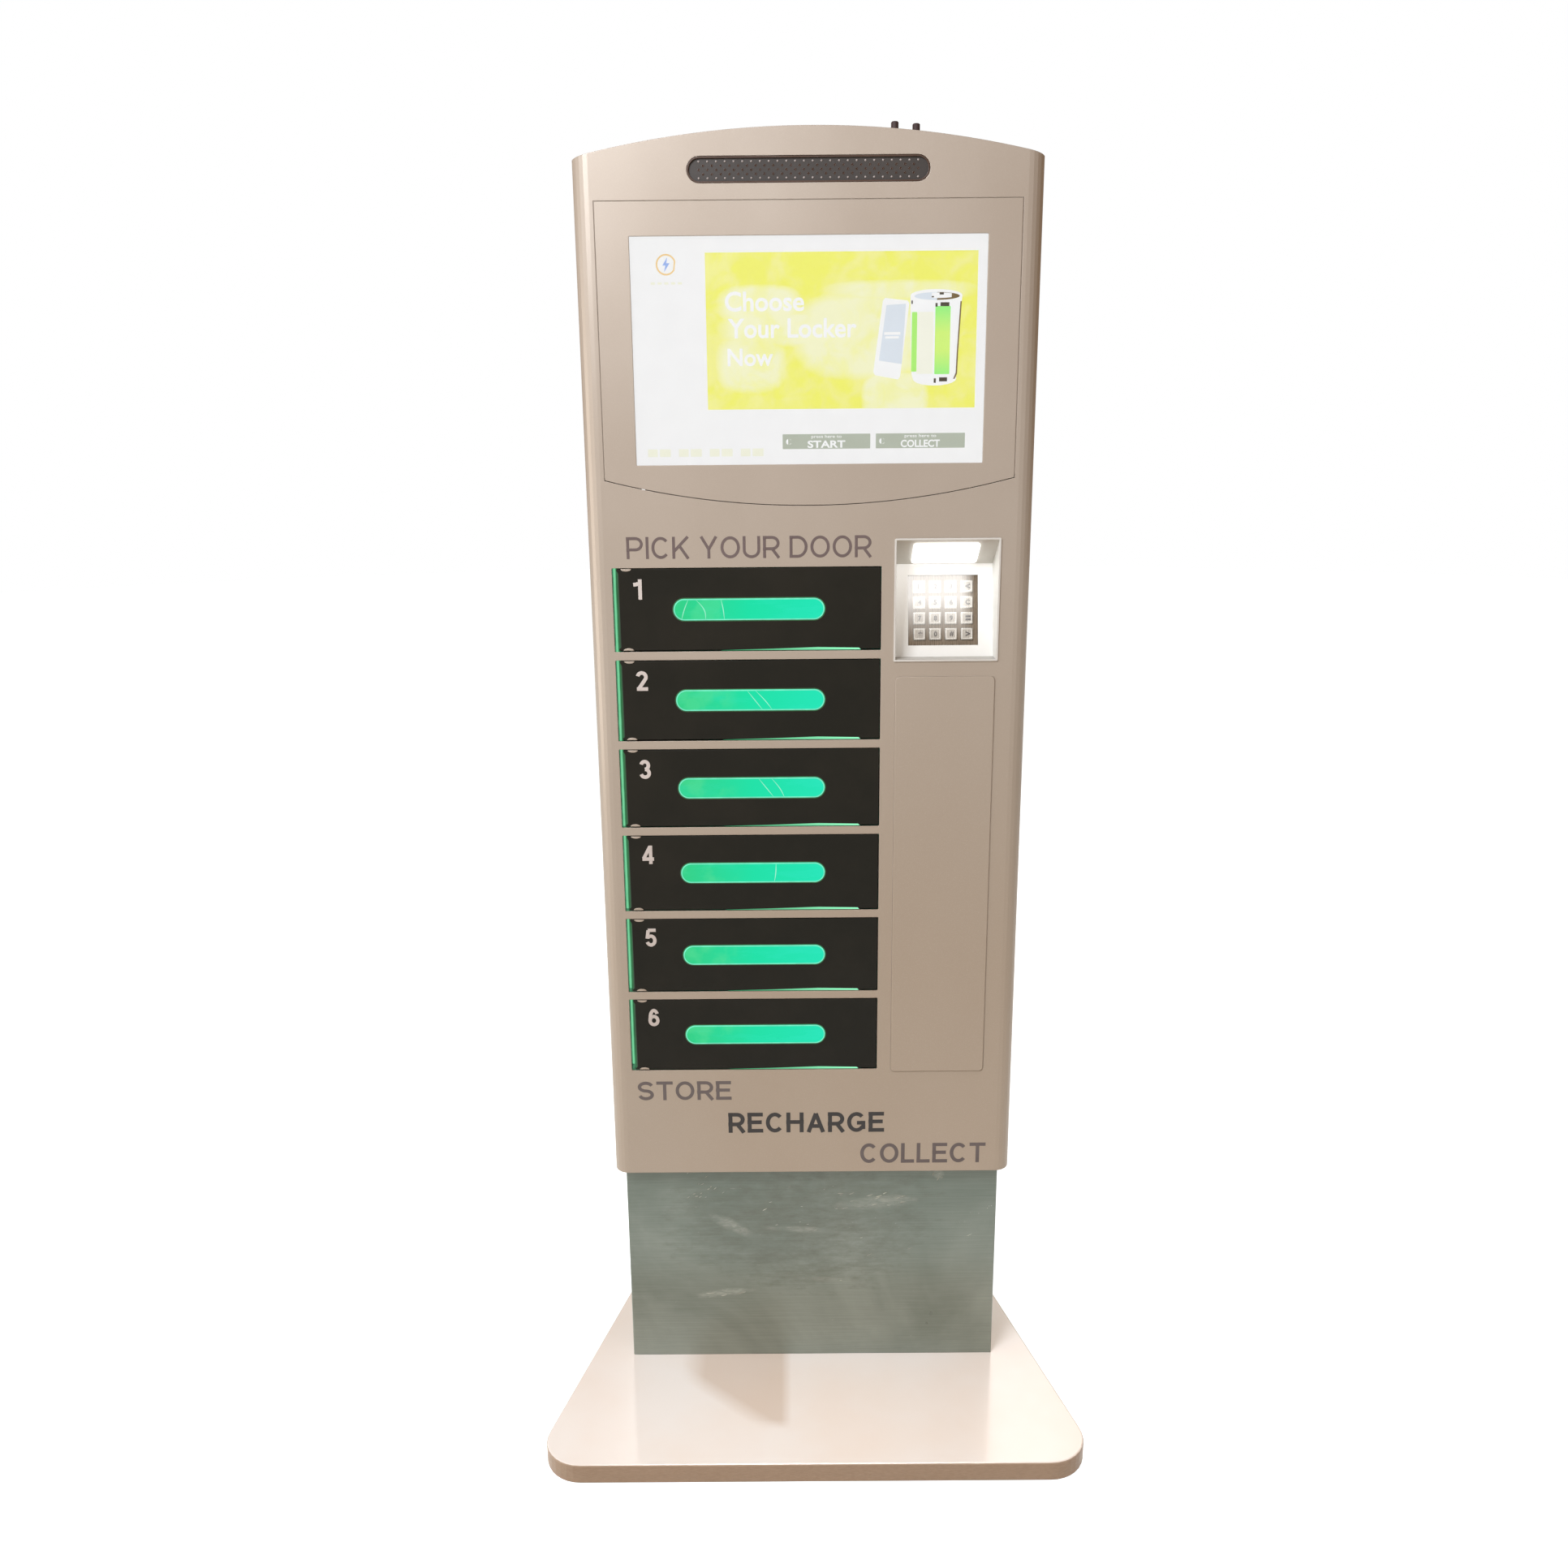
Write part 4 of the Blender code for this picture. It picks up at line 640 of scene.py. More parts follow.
def lettering(name, words, left, right, low, high, face, thick, material, body, weight,
              place=None):
    # Letters fitted to a box on the plane y = face, standing out towards -Y by their thickness.
    # With a place, the box is in that matrix's own x and z.
    mesh = letterShape(words, weight)
    xs = [v.co.x for v in mesh.vertices]
    ys = [v.co.y for v in mesh.vertices]
    wide, tall = max(xs) - min(xs), max(ys) - min(ys)
    scaleZ = (high - low) / tall
    scaleX = (right - left) / wide if right is not None else scaleZ
    for v in mesh.vertices:
        x = left + (v.co.x - min(xs)) * scaleX
        z = low + (v.co.y - min(ys)) * scaleZ
        point = Vector((x, face - thick * (v.co.z + 0.5), z))
        v.co = place @ point if place else point
    mesh.name = name
    obj = bpy.data.objects.new(name, mesh)
    bpy.context.collection.objects.link(obj)
    return dress(obj, material, body)


strokeLetters = {
    "bold": 0.185,       # stroke thickness as a share of the letter's height
    "plain": 0.132,
    "medium": 0.165,
    "gap": 0.105,
    "space": 0.30,
}


def bend(centre, reachX, reachZ, start, end, steps=14):
    # Points along an ellipse's arc, angles in degrees.
    angles = [math.radians(start + (end - start) * i / steps) for i in range(steps + 1)]
    return [(centre[0] + reachX * math.cos(a), centre[1] + reachZ * math.sin(a)) for a in angles]


def letterStrokes(sign, h):
    # Width and centre lines of one capital or numeral of height 1; h is half the stroke.
    t = 1.0 - h
    if sign == "I":
        return 2 * h, [[(h, 0), (h, 1)]]
    if sign in "PRDEHLK":
        stem = [(h, 0), (h, 1)]
        if sign == "D":
            w, r = 0.76, 0.36
            bowl = [(0, t), (w - h - r, t)] + bend((w - h - r, 0.5), r, 0.5 - h, 90, -90)
            return w, [stem, bowl + [(0, h)]]
        if sign in "PR":
            w, low = 0.70, 0.42
            r = (t - low) / 2
            bowl = [(0, t), (w - h - r, t)] + bend((w - h - r, t - r), r, r, 90, -90) + [(0, low)]
            leg = [[(0.38, low), (w - 0.5 * h, 0)]] if sign == "R" else []
            return w, [stem, bowl] + leg
        if sign == "E":
            return 0.66, [stem, [(0, t), (0.65, t)], [(0, 0.52), (0.60, 0.52)], [(0, h), (0.66, h)]]
        if sign == "H":
            return 0.74, [stem, [(0.74 - h, 0), (0.74 - h, 1)], [(0, 0.52), (0.74, 0.52)]]
        if sign == "L":
            return 0.58, [stem, [(0, h), (0.58, h)]]
        return 0.74, [stem, [(h, 0.32), (0.74 - 1.2 * h, 1)], [(0.32, 0.56), (0.74 - 1.1 * h, 0)]]
    if sign == "C":
        return 0.76, [bend((0.39, 0.5), 0.39 - h, 0.5 - h, 42, 318, 22)]
    if sign == "G":
        ring = bend((0.40, 0.5), 0.40 - h, 0.5 - h, 42, 325, 22)
        return 0.80, [ring, [(0.42, 0.46), (0.78 - h, 0.46), (0.78 - h, 0.14)]]
    if sign == "O":
        return 0.82, [bend((0.41, 0.5), 0.41 - h, 0.5 - h, 0, 360, 28)]
    if sign == "U":
        w = 0.74
        r = w / 2 - h
        return w, [[(h, 1), (h, h + r)] + bend((w / 2, h + r), r, r, 180, 360) + [(w - h, 1)]]
    if sign == "S":
        w = 0.70
        r = (1 - 2 * h) / 4
        upper = bend((w / 2, t - r), w / 2 - h, r, 20, 262)
        return w, [upper + bend((w / 2, h + r), w / 2 - h, r, 82, -165)]
    if sign == "T":
        return 0.70, [[(0, t), (0.70, t)], [(0.35, 0), (0.35, 1)]]
    if sign == "Y":
        arms = [[(h, 1), (0.38, 0.42)], [(0.76 - h, 1), (0.38, 0.42)]]
        return 0.76, arms + [[(0.38, 0), (0.38, 0.48)]]
    if sign == "A":
        return 0.80, [[(h, 0), (0.40, 1 - 0.6 * h)], [(0.80 - h, 0), (0.40, 1 - 0.6 * h)],
                      [(0.20, 0.31), (0.60, 0.31)]]
    if sign == "1":
        return 0.42, [[(0.42 - h, 0), (0.42 - h, 1)],
                      bend((0.06, 1.0), 0.30, 0.26, 310, 270, 5) + [(0.0, 0.735)]]
    w = 0.60
    r = w / 2 - h
    if sign == "2":
        return w, [bend((w / 2, t - r), r, r, 168, -32) + [(h * 1.35, h)], [(h * 0.4, h), (w, h)]]
    if sign == "3":
        q = (1 - 2 * h) / 4
        upper = bend((w / 2 - 0.01, t - q), r - 0.02, q, 165, -90)
        return w, [upper, bend((w / 2, h + q), r, q, 90, -165)]
    if sign == "4":
        return w, [[(w * 0.72, 0), (w * 0.72, 1)], [(w * 0.68, 0.95), (h * 0.8, 0.31)],
                   [(0.0, 0.27), (w, 0.27)]]
    if sign == "5":
        ring = bend((w / 2 - 0.01, h + 0.24), r, 0.25, 140, -160)
        return w, [[(w * 0.93, t), (w * 0.24, t)], [(w * 0.27, t), (w * 0.16, 0.44)], ring]
    ring = bend((w / 2, h + 0.235), r, 0.235, 0, 360, 24)
    return w, [ring, bend((w / 2 + 0.01, 0.5), r - 0.01, 0.5 - h, 32, 180, 12) + [(h, h + 0.24)]]


def sweep(shape, line, half, front, back, toPoint):
    # A flat ribbon of even width along a centre line.
    points = [line[0]] + [q for p, q in zip(line, line[1:]) if math.dist(p, q) > 1e-4]
    closed = math.dist(points[0], points[-1]) < 1e-4
    points = points[:-1] if closed else points
    count = len(points)
    rings = []
    for i, (x, z) in enumerate(points):
        before = points[i - 1] if i or closed else None
        after = points[(i + 1) % count] if i + 1 < count or closed else None
        headings = []
        for p, q in ((before, (x, z)), ((x, z), after)):
            if p and q:
                length = math.dist(p, q)
                headings.append(((q[0] - p[0]) / length, (q[1] - p[1]) / length))
        dx = sum(d[0] for d in headings)
        dz = sum(d[1] for d in headings)
        length = math.hypot(dx, dz)
        dx, dz = dx / length, dz / length
        corner = max(0.5, dx * headings[0][0] + dz * headings[0][1])
        wide = half / corner
        rings.append([shape.verts.new(toPoint(x - dz * side * wide, z + dx * side * wide, y))
                      for side, y in ((-1, front), (1, front), (1, back), (-1, back))])
    skin(shape, rings, closed)


def strokeWords(name, words, left, right, low, high, face, thick, material, body, weight):
    # Letters on the plane y = face, standing out towards -Y; overlapping strokes are stepped
    # by a hair so that no two faces share a plane.
    h = strokeLetters[weight] / 2
    tall = high - low
    signs = []
    pen = 0.0
    for sign in words:
        if sign == " ":
            pen += strokeLetters["space"]
            continue
        width, strokes = letterStrokes(sign, h)
        signs.append((pen, strokes))
        pen += width + strokeLetters["gap"]
    total = pen - strokeLetters["gap"]
    scale = (right - left) / total if right is not None else tall
    shape = bmesh.new()
    for start, strokes in signs:
        for step, line in enumerate(strokes):
            proud = thick + step * 0.00002
            along = [((start + x) * scale / tall, z) for x, z in line]
            sweep(shape, along, h, -proud, 0.0,
                  lambda x, z, y: (left + x * tall, face + y, low + z * tall))
    asObject(name, shape, material, body)


def setFinish(material, *nodes):
    for node in nodes:
        obj = frame["nodes"][node]
        for slot in obj.material_slots:
            slot.material = material


# finishes for the frame's own pieces

placeCamera()
lightStudio()
print("camera and lights are up")

paint = satinPaint()
zinc = spangledZinc()
acrylic = glowingWindow()
blackDoor = blackPaint()
blackPlastic = mouldedPlastic("blackCasePlastic", (0.026, 0.026, 0.027), 0.48)
grillePlastic = mouldedPlastic("grilleBlack", (0.036, 0.029, 0.025), 0.55, 700.0)
rimPlastic = mouldedPlastic("grilleRimBrown", (0.075, 0.040, 0.026), 0.40)
moulding = washedMoulding()
rubber = mouldedPlastic("darkRubber", (0.045, 0.022, 0.020), 0.65, 260.0)
padMetal = washedMetal("padPlateSteel", (0.30, 0.25, 0.19), 0.26)
keyMetal = washedMetal("keyCapSteel", (0.66, 0.65, 0.60), 0.24)
boltMetal = brushedMetal("boltSteel", (0.58, 0.58, 0.58), 0.28, 0.95)
supplyMetal = brushedMetal("supplyAluminium", (0.62, 0.63, 0.64), 0.36, 0.9)
lampLight = plainGlow("lampLight", (1.0, 1.0, 0.985), 1.9, 60.0, 0.02, (0.9, 0.9, 0.9))
stripLight = edgeStripLight()

slotOf = {name: slot for slot, names in {       # the record's material slot of each finish
    "champagne_paint": ("champagneSatinPaint", "seamFiller", "coverBead"),
    "zinc_steel": ("spangledZinc", "boltSteel", "grillePin", "portShell"),
    "green_acrylic": ("litAcrylic", "filmFoldLight", "windowEdgeLight"),
    "green_light": ("stripLight", "slotEdgeLight", "leakingLight"),
    "black_paint": ("doorBlackPaint", "doorEdgeLight"),
    "black_plastic": ("blackCasePlastic", "grilleBlack", "grilleRimBrown", "legendInk",
                      "headingWordsVinyl", "lowerWordsLeftVinyl", "lowerWordsMiddleVinyl",
                      "lowerWordsRightVinyl"),
    "silver_moulding": ("silverMoulding", "digitVinyl"),
    "dark_rubber": ("darkRubber", "lockerMat"),
    "pad_plate": ("padPlateSteel",),
    "key_metal": ("keyCapSteel", "keyRimLight"),
    "supply_case": ("supplyAluminium",),
    "lamp_lens": ("lampLight",),
    "film_steel": ("filmScuff",),
    "screen_glass": ("screenYellowPicture", "screenCellGreen"),
}.items() for name in names}

doorNames = ["door_%d" % (i + 1) for i in range(doorCount)]
windowNames = ["window_%d" % (i + 1) for i in range(doorCount)]
keyNames = ["key_row%d_col%d" % (r + 1, c + 1) for r in range(keyRows) for c in range(keyRows)]
openings = {o["name"]: o for o in frame["record"]["physics"]["openings"]}

setFinish(paint, "cabinet_shell", "top_cover", "bottom_plate", "screen_panel", "side_cover",
          "rear_door")
setFinish(filmSteel(), "pedestal_column")
setFinish(creamBoard(), "base_plate")
setFinish(blackDoor, *doorNames)
setFinish(acrylic, *windowNames)
setFinish(clearGlass(), "screen_glass")
setFinish(blackPlastic, "lcd_monitor", "speaker_bar", "controller_box", "power_inlet",
          "power_switch")
setFinish(grillePlastic, "speaker_grille")
setFinish(moulding, "keypad_housing")
setFinish(lampLight, "keypad_lamp")
setFinish(padMetal, "keypad_plate")
setFinish(keyMetal, *keyNames)
setFinish(zinc, "locker_bank", "lock_1", "lock_2", "lock_3", "lock_4", "lock_5", "lock_6")
setFinish(boltMetal, "hinge_rod", "rear_hinge_rod", "rear_lock")
setFinish(supplyMetal, "power_supply")
setFinish(stripLight, "led_strip")
setFinish(rubber, "aerial_1", "aerial_2")
print("frame pieces have their finishes")

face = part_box("screen_panel")[0].y      # the cabinet's front
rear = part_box("cabinet_shell")[1].y


# speaker strip

speakerLook = {
    "columns": 26,
    "pitch": 0.00985,
    "outerRow": 0.0087,     # bright rows, above and below the middle
    "innerRows": (0.0044, 0.0, -0.0044),
    "pinRadius": 0.00125,
    "pinColour": (0.34, 0.30, 0.285),
    "holeRadius": 0.0010,
    "lip": 0.006,               # the part of the strip that hides behind the face
    "rim": (0.0004, 0.0022),    # outer and inner edge of the rim, inwards from the opening
}


def makeSpeakerStrip():
    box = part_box("speaker_grille")
    low, high = box
    middle = ((low.x + high.x) / 2, (low.z + high.z) / 2)
    look = speakerLook
    outer, inner = (pillInside(box, look["lip"] + inset, 12) for inset in look["rim"])
    rim = ringSlab(bmesh.new(), outer, inner, face + 0.0003, low.y - 0.0001)
    asObject("speakerRim", rim, rimPlastic, "cabinet", edge=0.0004)
    bright = bmesh.new()
    dim = bmesh.new()
    reach = (look["columns"] - 1) / 2
    for i in range(look["columns"]):
        x = middle[0] + (i - reach) * look["pitch"]
        for side in (-1, 1):
            radius = look["pinRadius"]
            dome = [(radius, 0.0), (radius, 0.0002), (radius * 0.7, 0.00055),
                    (radius * 0.25, 0.00070)]
            centre = (x, low.y, middle[1] + side * look["outerRow"])
            turnedShape(bright, dome, centre, (0, -1, 0), 10)
        for row, lift in enumerate(look["innerRows"]):
            shift = look["pitch"] / 2 if row % 2 == 0 else 0.0
            if i == look["columns"] - 1 and shift:
                continue
            radius = look["holeRadius"]
            pit = [(radius * 1.5, 0.0), (radius * 1.35, 0.00025), (radius, 0.0003),
                   (radius * 0.8, 0.00008)]
            turnedShape(dim, pit, (x + shift, low.y, middle[1] + lift), (0, -1, 0), 10)
    pin = mouldedPlastic("grillePin", look["pinColour"], 0.35)
    asObject("speakerPins", bright, pin, "cabinet", smoothAngle=60)
    asObject("speakerHoles", dim, rimPlastic, "cabinet", smoothAngle=50)
    print("speaker strip done")


# screen picture

screenLook = {
    "white": (0.90, 0.895, 0.905),
    "yellow": (0.885, 0.87, 0.27),
    "deepYellow": (0.87, 0.87, 0.135),
    "paleYellow": (0.90, 0.90, 0.60),
    "letter": (0.92, 0.92, 0.93),
    "button": (0.43, 0.47, 0.39),
    "phoneGlass": (0.70, 0.76, 0.84),
    "cellGreen": (0.40, 0.88, 0.16),
    "cellPale": (0.90, 0.90, 0.78),
    "barMiddle": (0.62, 0.90, 0.18),
    "barEnds": (0.30, 0.88, 0.20),
    "ink": (0.045, 0.035, 0.02),
    "inkBrown": (0.16, 0.10, 0.03),
    "symbolBlue": (0.30, 0.44, 0.84),
    "symbolOrange": (0.86, 0.60, 0.25),
    "faint": (0.86, 0.86, 0.72),
    "clouds": (             # middle, half width and height, softness
        (0.36, 0.29, 0.050, 0.022, 0.6), (0.445, 0.40, 0.085, 0.020, 0.6),
        (0.335, 0.55, 0.042, 0.034, 0.6), (0.66, 0.43, 0.085, 0.050, 0.5),
        (0.76, 0.235, 0.090, 0.012, 0.8), (0.745, 0.70, 0.040, 0.030, 0.4)),
    "headline": (           # words and their left, top, right and bottom
        ("Choose", 0.263, 0.235, 0.487, 0.322), ("Your Locker", 0.270, 0.352, 0.635, 0.438),
        ("Now", 0.268, 0.482, 0.398, 0.560)),
    "buttonHint": "press here to",
    "buttons": (("START", 0.423, 0.676), ("COLLECT", 0.692, 0.949)),
    "lip": 0.008,           # the part of the glass that hides behind the panel
    "layer": 0.000032,      # from one layer of the picture to the next
    "thick": 0.0000192,
    "pictureThick": 0.000024,
}


def makeScreenPicture():
    look = screenLook
    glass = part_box("screen_glass")
    left, right = glass[0].x + look["lip"], glass[1].x - look["lip"]
    low, high = glass[0].z + look["lip"], glass[1].z - look["lip"]
    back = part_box("lcd_monitor")[0].y
    inks = {}

    def x(u):
        return left + u * (right - left)

    def z(v):
        return high - v * (high - low)

    def ink(key):
        if key not in inks:
            inks[key] = plainGlow("screen" + key[0].upper() + key[1:], look[key], 1.0, 40.0, 0.02)
            slotOf[inks[key].name] = "screen_glass"
        return inks[key]

    def depth(layer):
        return back - layer * look["layer"] - 0.00002

    def lay(name, outline, layer, material, thick=look["thick"]):
        y = depth(layer)
        plate(name, outline, y - thick, y, material, "cabinet")

    # places are shares of the lit field, from its upper left corner
    def shape(name, points, layer, key):
        lay(name, [(x(u), z(v)) for u, v in points], layer, ink(key))

    def box(name, u0, v0, u1, v1, radius, layer, key):
        lay(name, roundedBox(x(u0), x(u1), z(v1), z(v0), radius), layer, ink(key))

    def words(name, text, u0, v0, u1, v1, layer, weight):
        lettering(name, text, x(u0), x(u1), z(v1), z(v0), depth(layer), look["thick"],
                  ink("letter"), "cabinet", weight)

    box("screenField", -0.012, -0.02, 1.012, 1.02, 0.001, 0, "white")

    # the yellow picture, with pale clouds behind the words and in the middle
    f = Finish("screenYellowPicture", (0.02, 0.02, 0.02), 0.5)

    def cloud(u, v, halfWide, halfHigh, soft):
        across = f.operate("DIVIDE", f.operate("SUBTRACT", f.along(0), x(u)), halfWide)
        down = f.operate("DIVIDE", f.operate("SUBTRACT", f.along(2), z(v)), halfHigh)
        away = f.plus(f.operate("POWER", f.operate("ABSOLUTE", across), 3.0),
                     f.operate("POWER", f.operate("ABSOLUTE", down), 3.0))
        return f.spread(away, 1.0, 1.0 - soft)

    blotch = f.noise(28.0, 4.0, 0.6, distortion=0.6)
    tone = f.mix(f.spread(blotch, 0.42, 0.62), look["deepYellow"], look["yellow"])
    pale = cloud(*look["clouds"][0])
    for place in look["clouds"][1:]:
        pale = f.most(pale, cloud(*place))
    pale = f.times(pale, f.spread(blotch, 0.25, 0.55, 0.35, 0.95))
    f.glow(f.mix(pale, tone, look["paleYellow"]), 1.0)
    lay("screenPicture", roundedBox(x(0.2095), x(0.9745), z(0.7510), z(0.0685), 0.0004), 1,
        f.material, look["pictureThick"])
    for i, (text, *place) in enumerate(look["headline"]):
        words("screenHeadline%d" % (i + 1), text, *place, 3, 0.02)

    # a phone leaning on a charge cell
    phone = [(0.7150, 0.268), (0.7780, 0.280), (0.7830, 0.292), (0.7600, 0.610),
             (0.7540, 0.624), (0.6880, 0.604), (0.6830, 0.590), (0.7085, 0.280)]
    shape("screenPhone", phone, 2, "letter")
    pane = [(0.7190, 0.299), (0.7740, 0.294), (0.7640, 0.556), (0.6990, 0.540)]
    shape("screenPhoneGlass", pane, 3, "phoneGlass")
    box("screenPhoneLine1", 0.713, 0.416, 0.759, 0.428, 0.0004, 4, "letter")
    box("screenPhoneLine2", 0.716, 0.434, 0.755, 0.444, 0.0004, 4, "letter")
    body = [(0.786 + 0.002 * i, v) for i, v in enumerate((0.262, 0.35, 0.50, 0.60))]
    base = bend((0.858, 0.622), -0.062, 0.030, 0, 180, 10)
    side = [(0.918, 0.60), (0.922, 0.50), (0.927, 0.35), (0.932, 0.262)]
    crown = bend((0.859, 0.258), 0.073, -0.026, 0, 180, 10)
    shape("screenCell", body + base + side + crown, 3, "letter")
    lid = bend((0.861, 0.262), 0.064, 0.017, 0, 345, 23)
    shape("screenCellLid", lid, 4, "phoneGlass")
    shape("screenCellLidShade", [(u, v) for u, v in lid if u > 0.858], 5, "inkBrown")
    rim = bend((0.861, 0.259), 0.058, 0.012, 0, 345, 23)
    shape("screenCellCap", [(u, v) for u, v in rim if 0.840 < u < 0.905], 6, "letter")
    box("screenCellCapMark", 0.868, 0.247, 0.880, 0.256, 0.0002, 7, "ink")
    box("screenCellCapMark2", 0.846, 0.262, 0.852, 0.268, 0.0002, 7, "ink")
    marks = ((0.857, 0.863, 0.292, 0.308), (0.871, 0.896, 0.289, 0.306),
             (0.856, 0.862, 0.620, 0.640), (0.871, 0.894, 0.616, 0.634),
             (0.789, 0.793, 0.280, 0.295))
    for i, (u0, u1, v0, v1) in enumerate(marks):
        box("screenCellMark%d" % (i + 1), u0, v0, u1, v1, 0.0003, 5, "ink")
    edge = [(0.927, 0.285), (0.931, 0.285), (0.924, 0.50), (0.922, 0.60), (0.916, 0.622),
            (0.911, 0.624), (0.918, 0.596), (0.920, 0.50)]
    shape("screenCellEdge", edge, 4, "inkBrown")
    box("screenCellSliver", 0.791, 0.330, 0.806, 0.590, 0.001, 4, "cellGreen")
    box("screenCellPale", 0.806, 0.330, 0.852, 0.600, 0.001, 5, "cellPale")
    f = Finish("screenCellGreen", (0.02, 0.02, 0.02), 0.5)
    fromMiddle = f.operate("ABSOLUTE", f.operate("SUBTRACT", f.along(2), z(0.46)))
    f.glow(f.mix(f.spread(fromMiddle, 0.010, 0.036), look["barMiddle"], look["barEnds"]), 1.0)
    lay("screenCellBar", roundedBox(x(0.857), x(0.900), z(0.602), z(0.305), 0.001), 4, f.material,
        look["pictureThick"])

    # a plain charging symbol in the corner
    outer, inner = (arcPoints((x(0.10), z(0.118)), radius, 20, 340, 24)[:-1]
                    for radius in (0.0116, 0.0098))
    ring = ringSlab(bmesh.new(), outer, inner, depth(1) - look["pictureThick"], depth(1))
    asObject("screenSymbolRing", ring, ink("symbolOrange"), "cabinet")
    bolt = [(0.1045, 0.086), (0.0900, 0.122), (0.0985, 0.122), (0.0945, 0.150), (0.1105, 0.112),
            (0.1015, 0.112)]
    shape("screenSymbolBolt", bolt, 2, "symbolBlue")
    for i in range(5):
        u = i * 0.019
        box("screenSymbolDash%d" % (i + 1), 0.056 + u, 0.193, 0.068 + u, 0.203, 0.0004, 1, "faint")

    for i, (text, u0, u1) in enumerate(look["buttons"]):
        n = i + 1
        box("screenButton%d" % n, u0, 0.864, u1, 0.931, 0.0006, 1, "button")
        words("screenButtonSmall%d" % n, look["buttonHint"], u0 + 0.083, 0.868, u1 - 0.083, 0.886,
              2, 0.01)
        words("screenButtonWord%d" % n, text, u0 + 0.072, 0.893, u1 - 0.072, 0.927, 2, 0.03)
        dot = arcPoints((x(u0 + 0.018), z(0.898)), 0.0034, 0, 337.5, 15)
        lay("screenButtonDot%d" % n, dot, 2, ink("letter"), look["pictureThick"])
        arrow = [(u0 + 0.016, 0.880), (u0 + 0.030, 0.898), (u0 + 0.016, 0.914)]
        shape("screenButtonArrow%d" % n, arrow, 3, "button")
    for i in range(4):
        u = 0.033 + i * 0.0895
        for k, (a, b) in enumerate(((0.0, 0.028), (0.034, 0.066))):
            box("screenNote%d_%d" % (i + 1, k + 1), u + a, 0.927, u + b, 0.962, 0.0006, 1, "faint")
    print("screen picture done")


# lettering on the front

frontWords = {
    # name: words, left, right, low, high, weight, colour
    "headingWords": ("PICK YOUR DOOR", -0.220, 0.074, 1.1505, 1.1765, "plain",
                     (0.150, 0.112, 0.108)),
    "lowerWordsLeft": ("STORE", -0.232, -0.107, 0.4364, 0.4636, "medium", (0.150, 0.125, 0.122)),
    "lowerWordsMiddle": ("RECHARGE", -0.112, 0.097, 0.3876, 0.4169, "bold", (0.022, 0.017, 0.015)),
    "lowerWordsRight": ("COLLECT", 0.065, 0.234, 0.3410, 0.3703, "medium", (0.150, 0.122, 0.120)),
}


def makeFrontWords():
    for name, (words, left, right, low, high, weight, colour) in frontWords.items():
        vinyl = mouldedPlastic(name + "Vinyl", colour, 0.45, 500.0, 0.85)
        strokeWords(name, words, left, right, low, high, face, 0.00012, vinyl, "cabinet", weight)
    print("front lettering done")


# seams round the front panels

seamLook = {
    "seam": 0.0008,         # gap round the screen panel
    "clear": 0.0001,
    "depth": 0.0005,        # how far the filler sits behind the face
    "beadWide": 0.0007,
    "beadProud": 0.0006,
}


def makeSeams():
    filler = mouldedPlastic("seamFiller", (0.40, 0.345, 0.285), 0.5, 300.0, 0.9)
    low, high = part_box("screen_panel")
    seam, clear = seamLook["seam"], seamLook["clear"]
    foot = low.z + 0.0335       # where the curved lower edge meets the sides
    strips = {
        "Top": (low.x - seam + clear, high.x + seam - clear, high.z + clear, high.z + seam - clear),
        "Left": (low.x - seam + clear, low.x - clear, foot, high.z),
        "Right": (high.x + clear, high.x + seam - clear, foot, high.z),
    }
    for name, (x0, x1, z0, z1) in strips.items():
        plate("panelSeam" + name, roundedBox(x0, x1, z0, z1, 0.0002, 2), face + seamLook["depth"],
              face + 0.002, filler, "cabinet")
    low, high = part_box("side_cover")
    wide = seamLook["beadWide"]
    outer = roundedBox(low.x - wide, high.x + wide, low.z - wide, high.z + wide, 0.0057, 6)
    inner = roundedBox(low.x - 0.0001, high.x + 0.0001, low.z - 0.0001, high.z + 0.0001, 0.0051, 6)
    bead = ringSlab(bmesh.new(), outer, inner, face - seamLook["beadProud"], face - 0.00002)
    beadPaint = mouldedPlastic("coverBead", (0.47, 0.41, 0.345), 0.42, 300.0, 0.93)
    asObject("coverBead", bead, beadPaint, "cabinet", edge=0.0002)
    print("seams done")


# scuffs in the column's film

scuffLook = {
    "seed": 11,
    "groups": (     # count, middle x, middle z, spread x, spread z, longest, lean in degrees
        (14, -0.148, 0.296, 0.028, 0.020, 0.0062, 30),
        (15, 0.088, 0.272, 0.050, 0.013, 0.011, 14),
        (4, 0.172, 0.316, 0.008, 0.012, 0.008, 70),
        (9, -0.020, 0.262, 0.060, 0.034, 0.0050, 8),
        (4, -0.122, 0.127, 0.034, 0.004, 0.016, 9),
        (7, 0.070, 0.200, 0.150, 0.060, 0.009, 20),
        (12, 0.000, 0.160, 0.230, 0.120, 0.0018, 40),
    ),
    "proud": 0.00006,
}


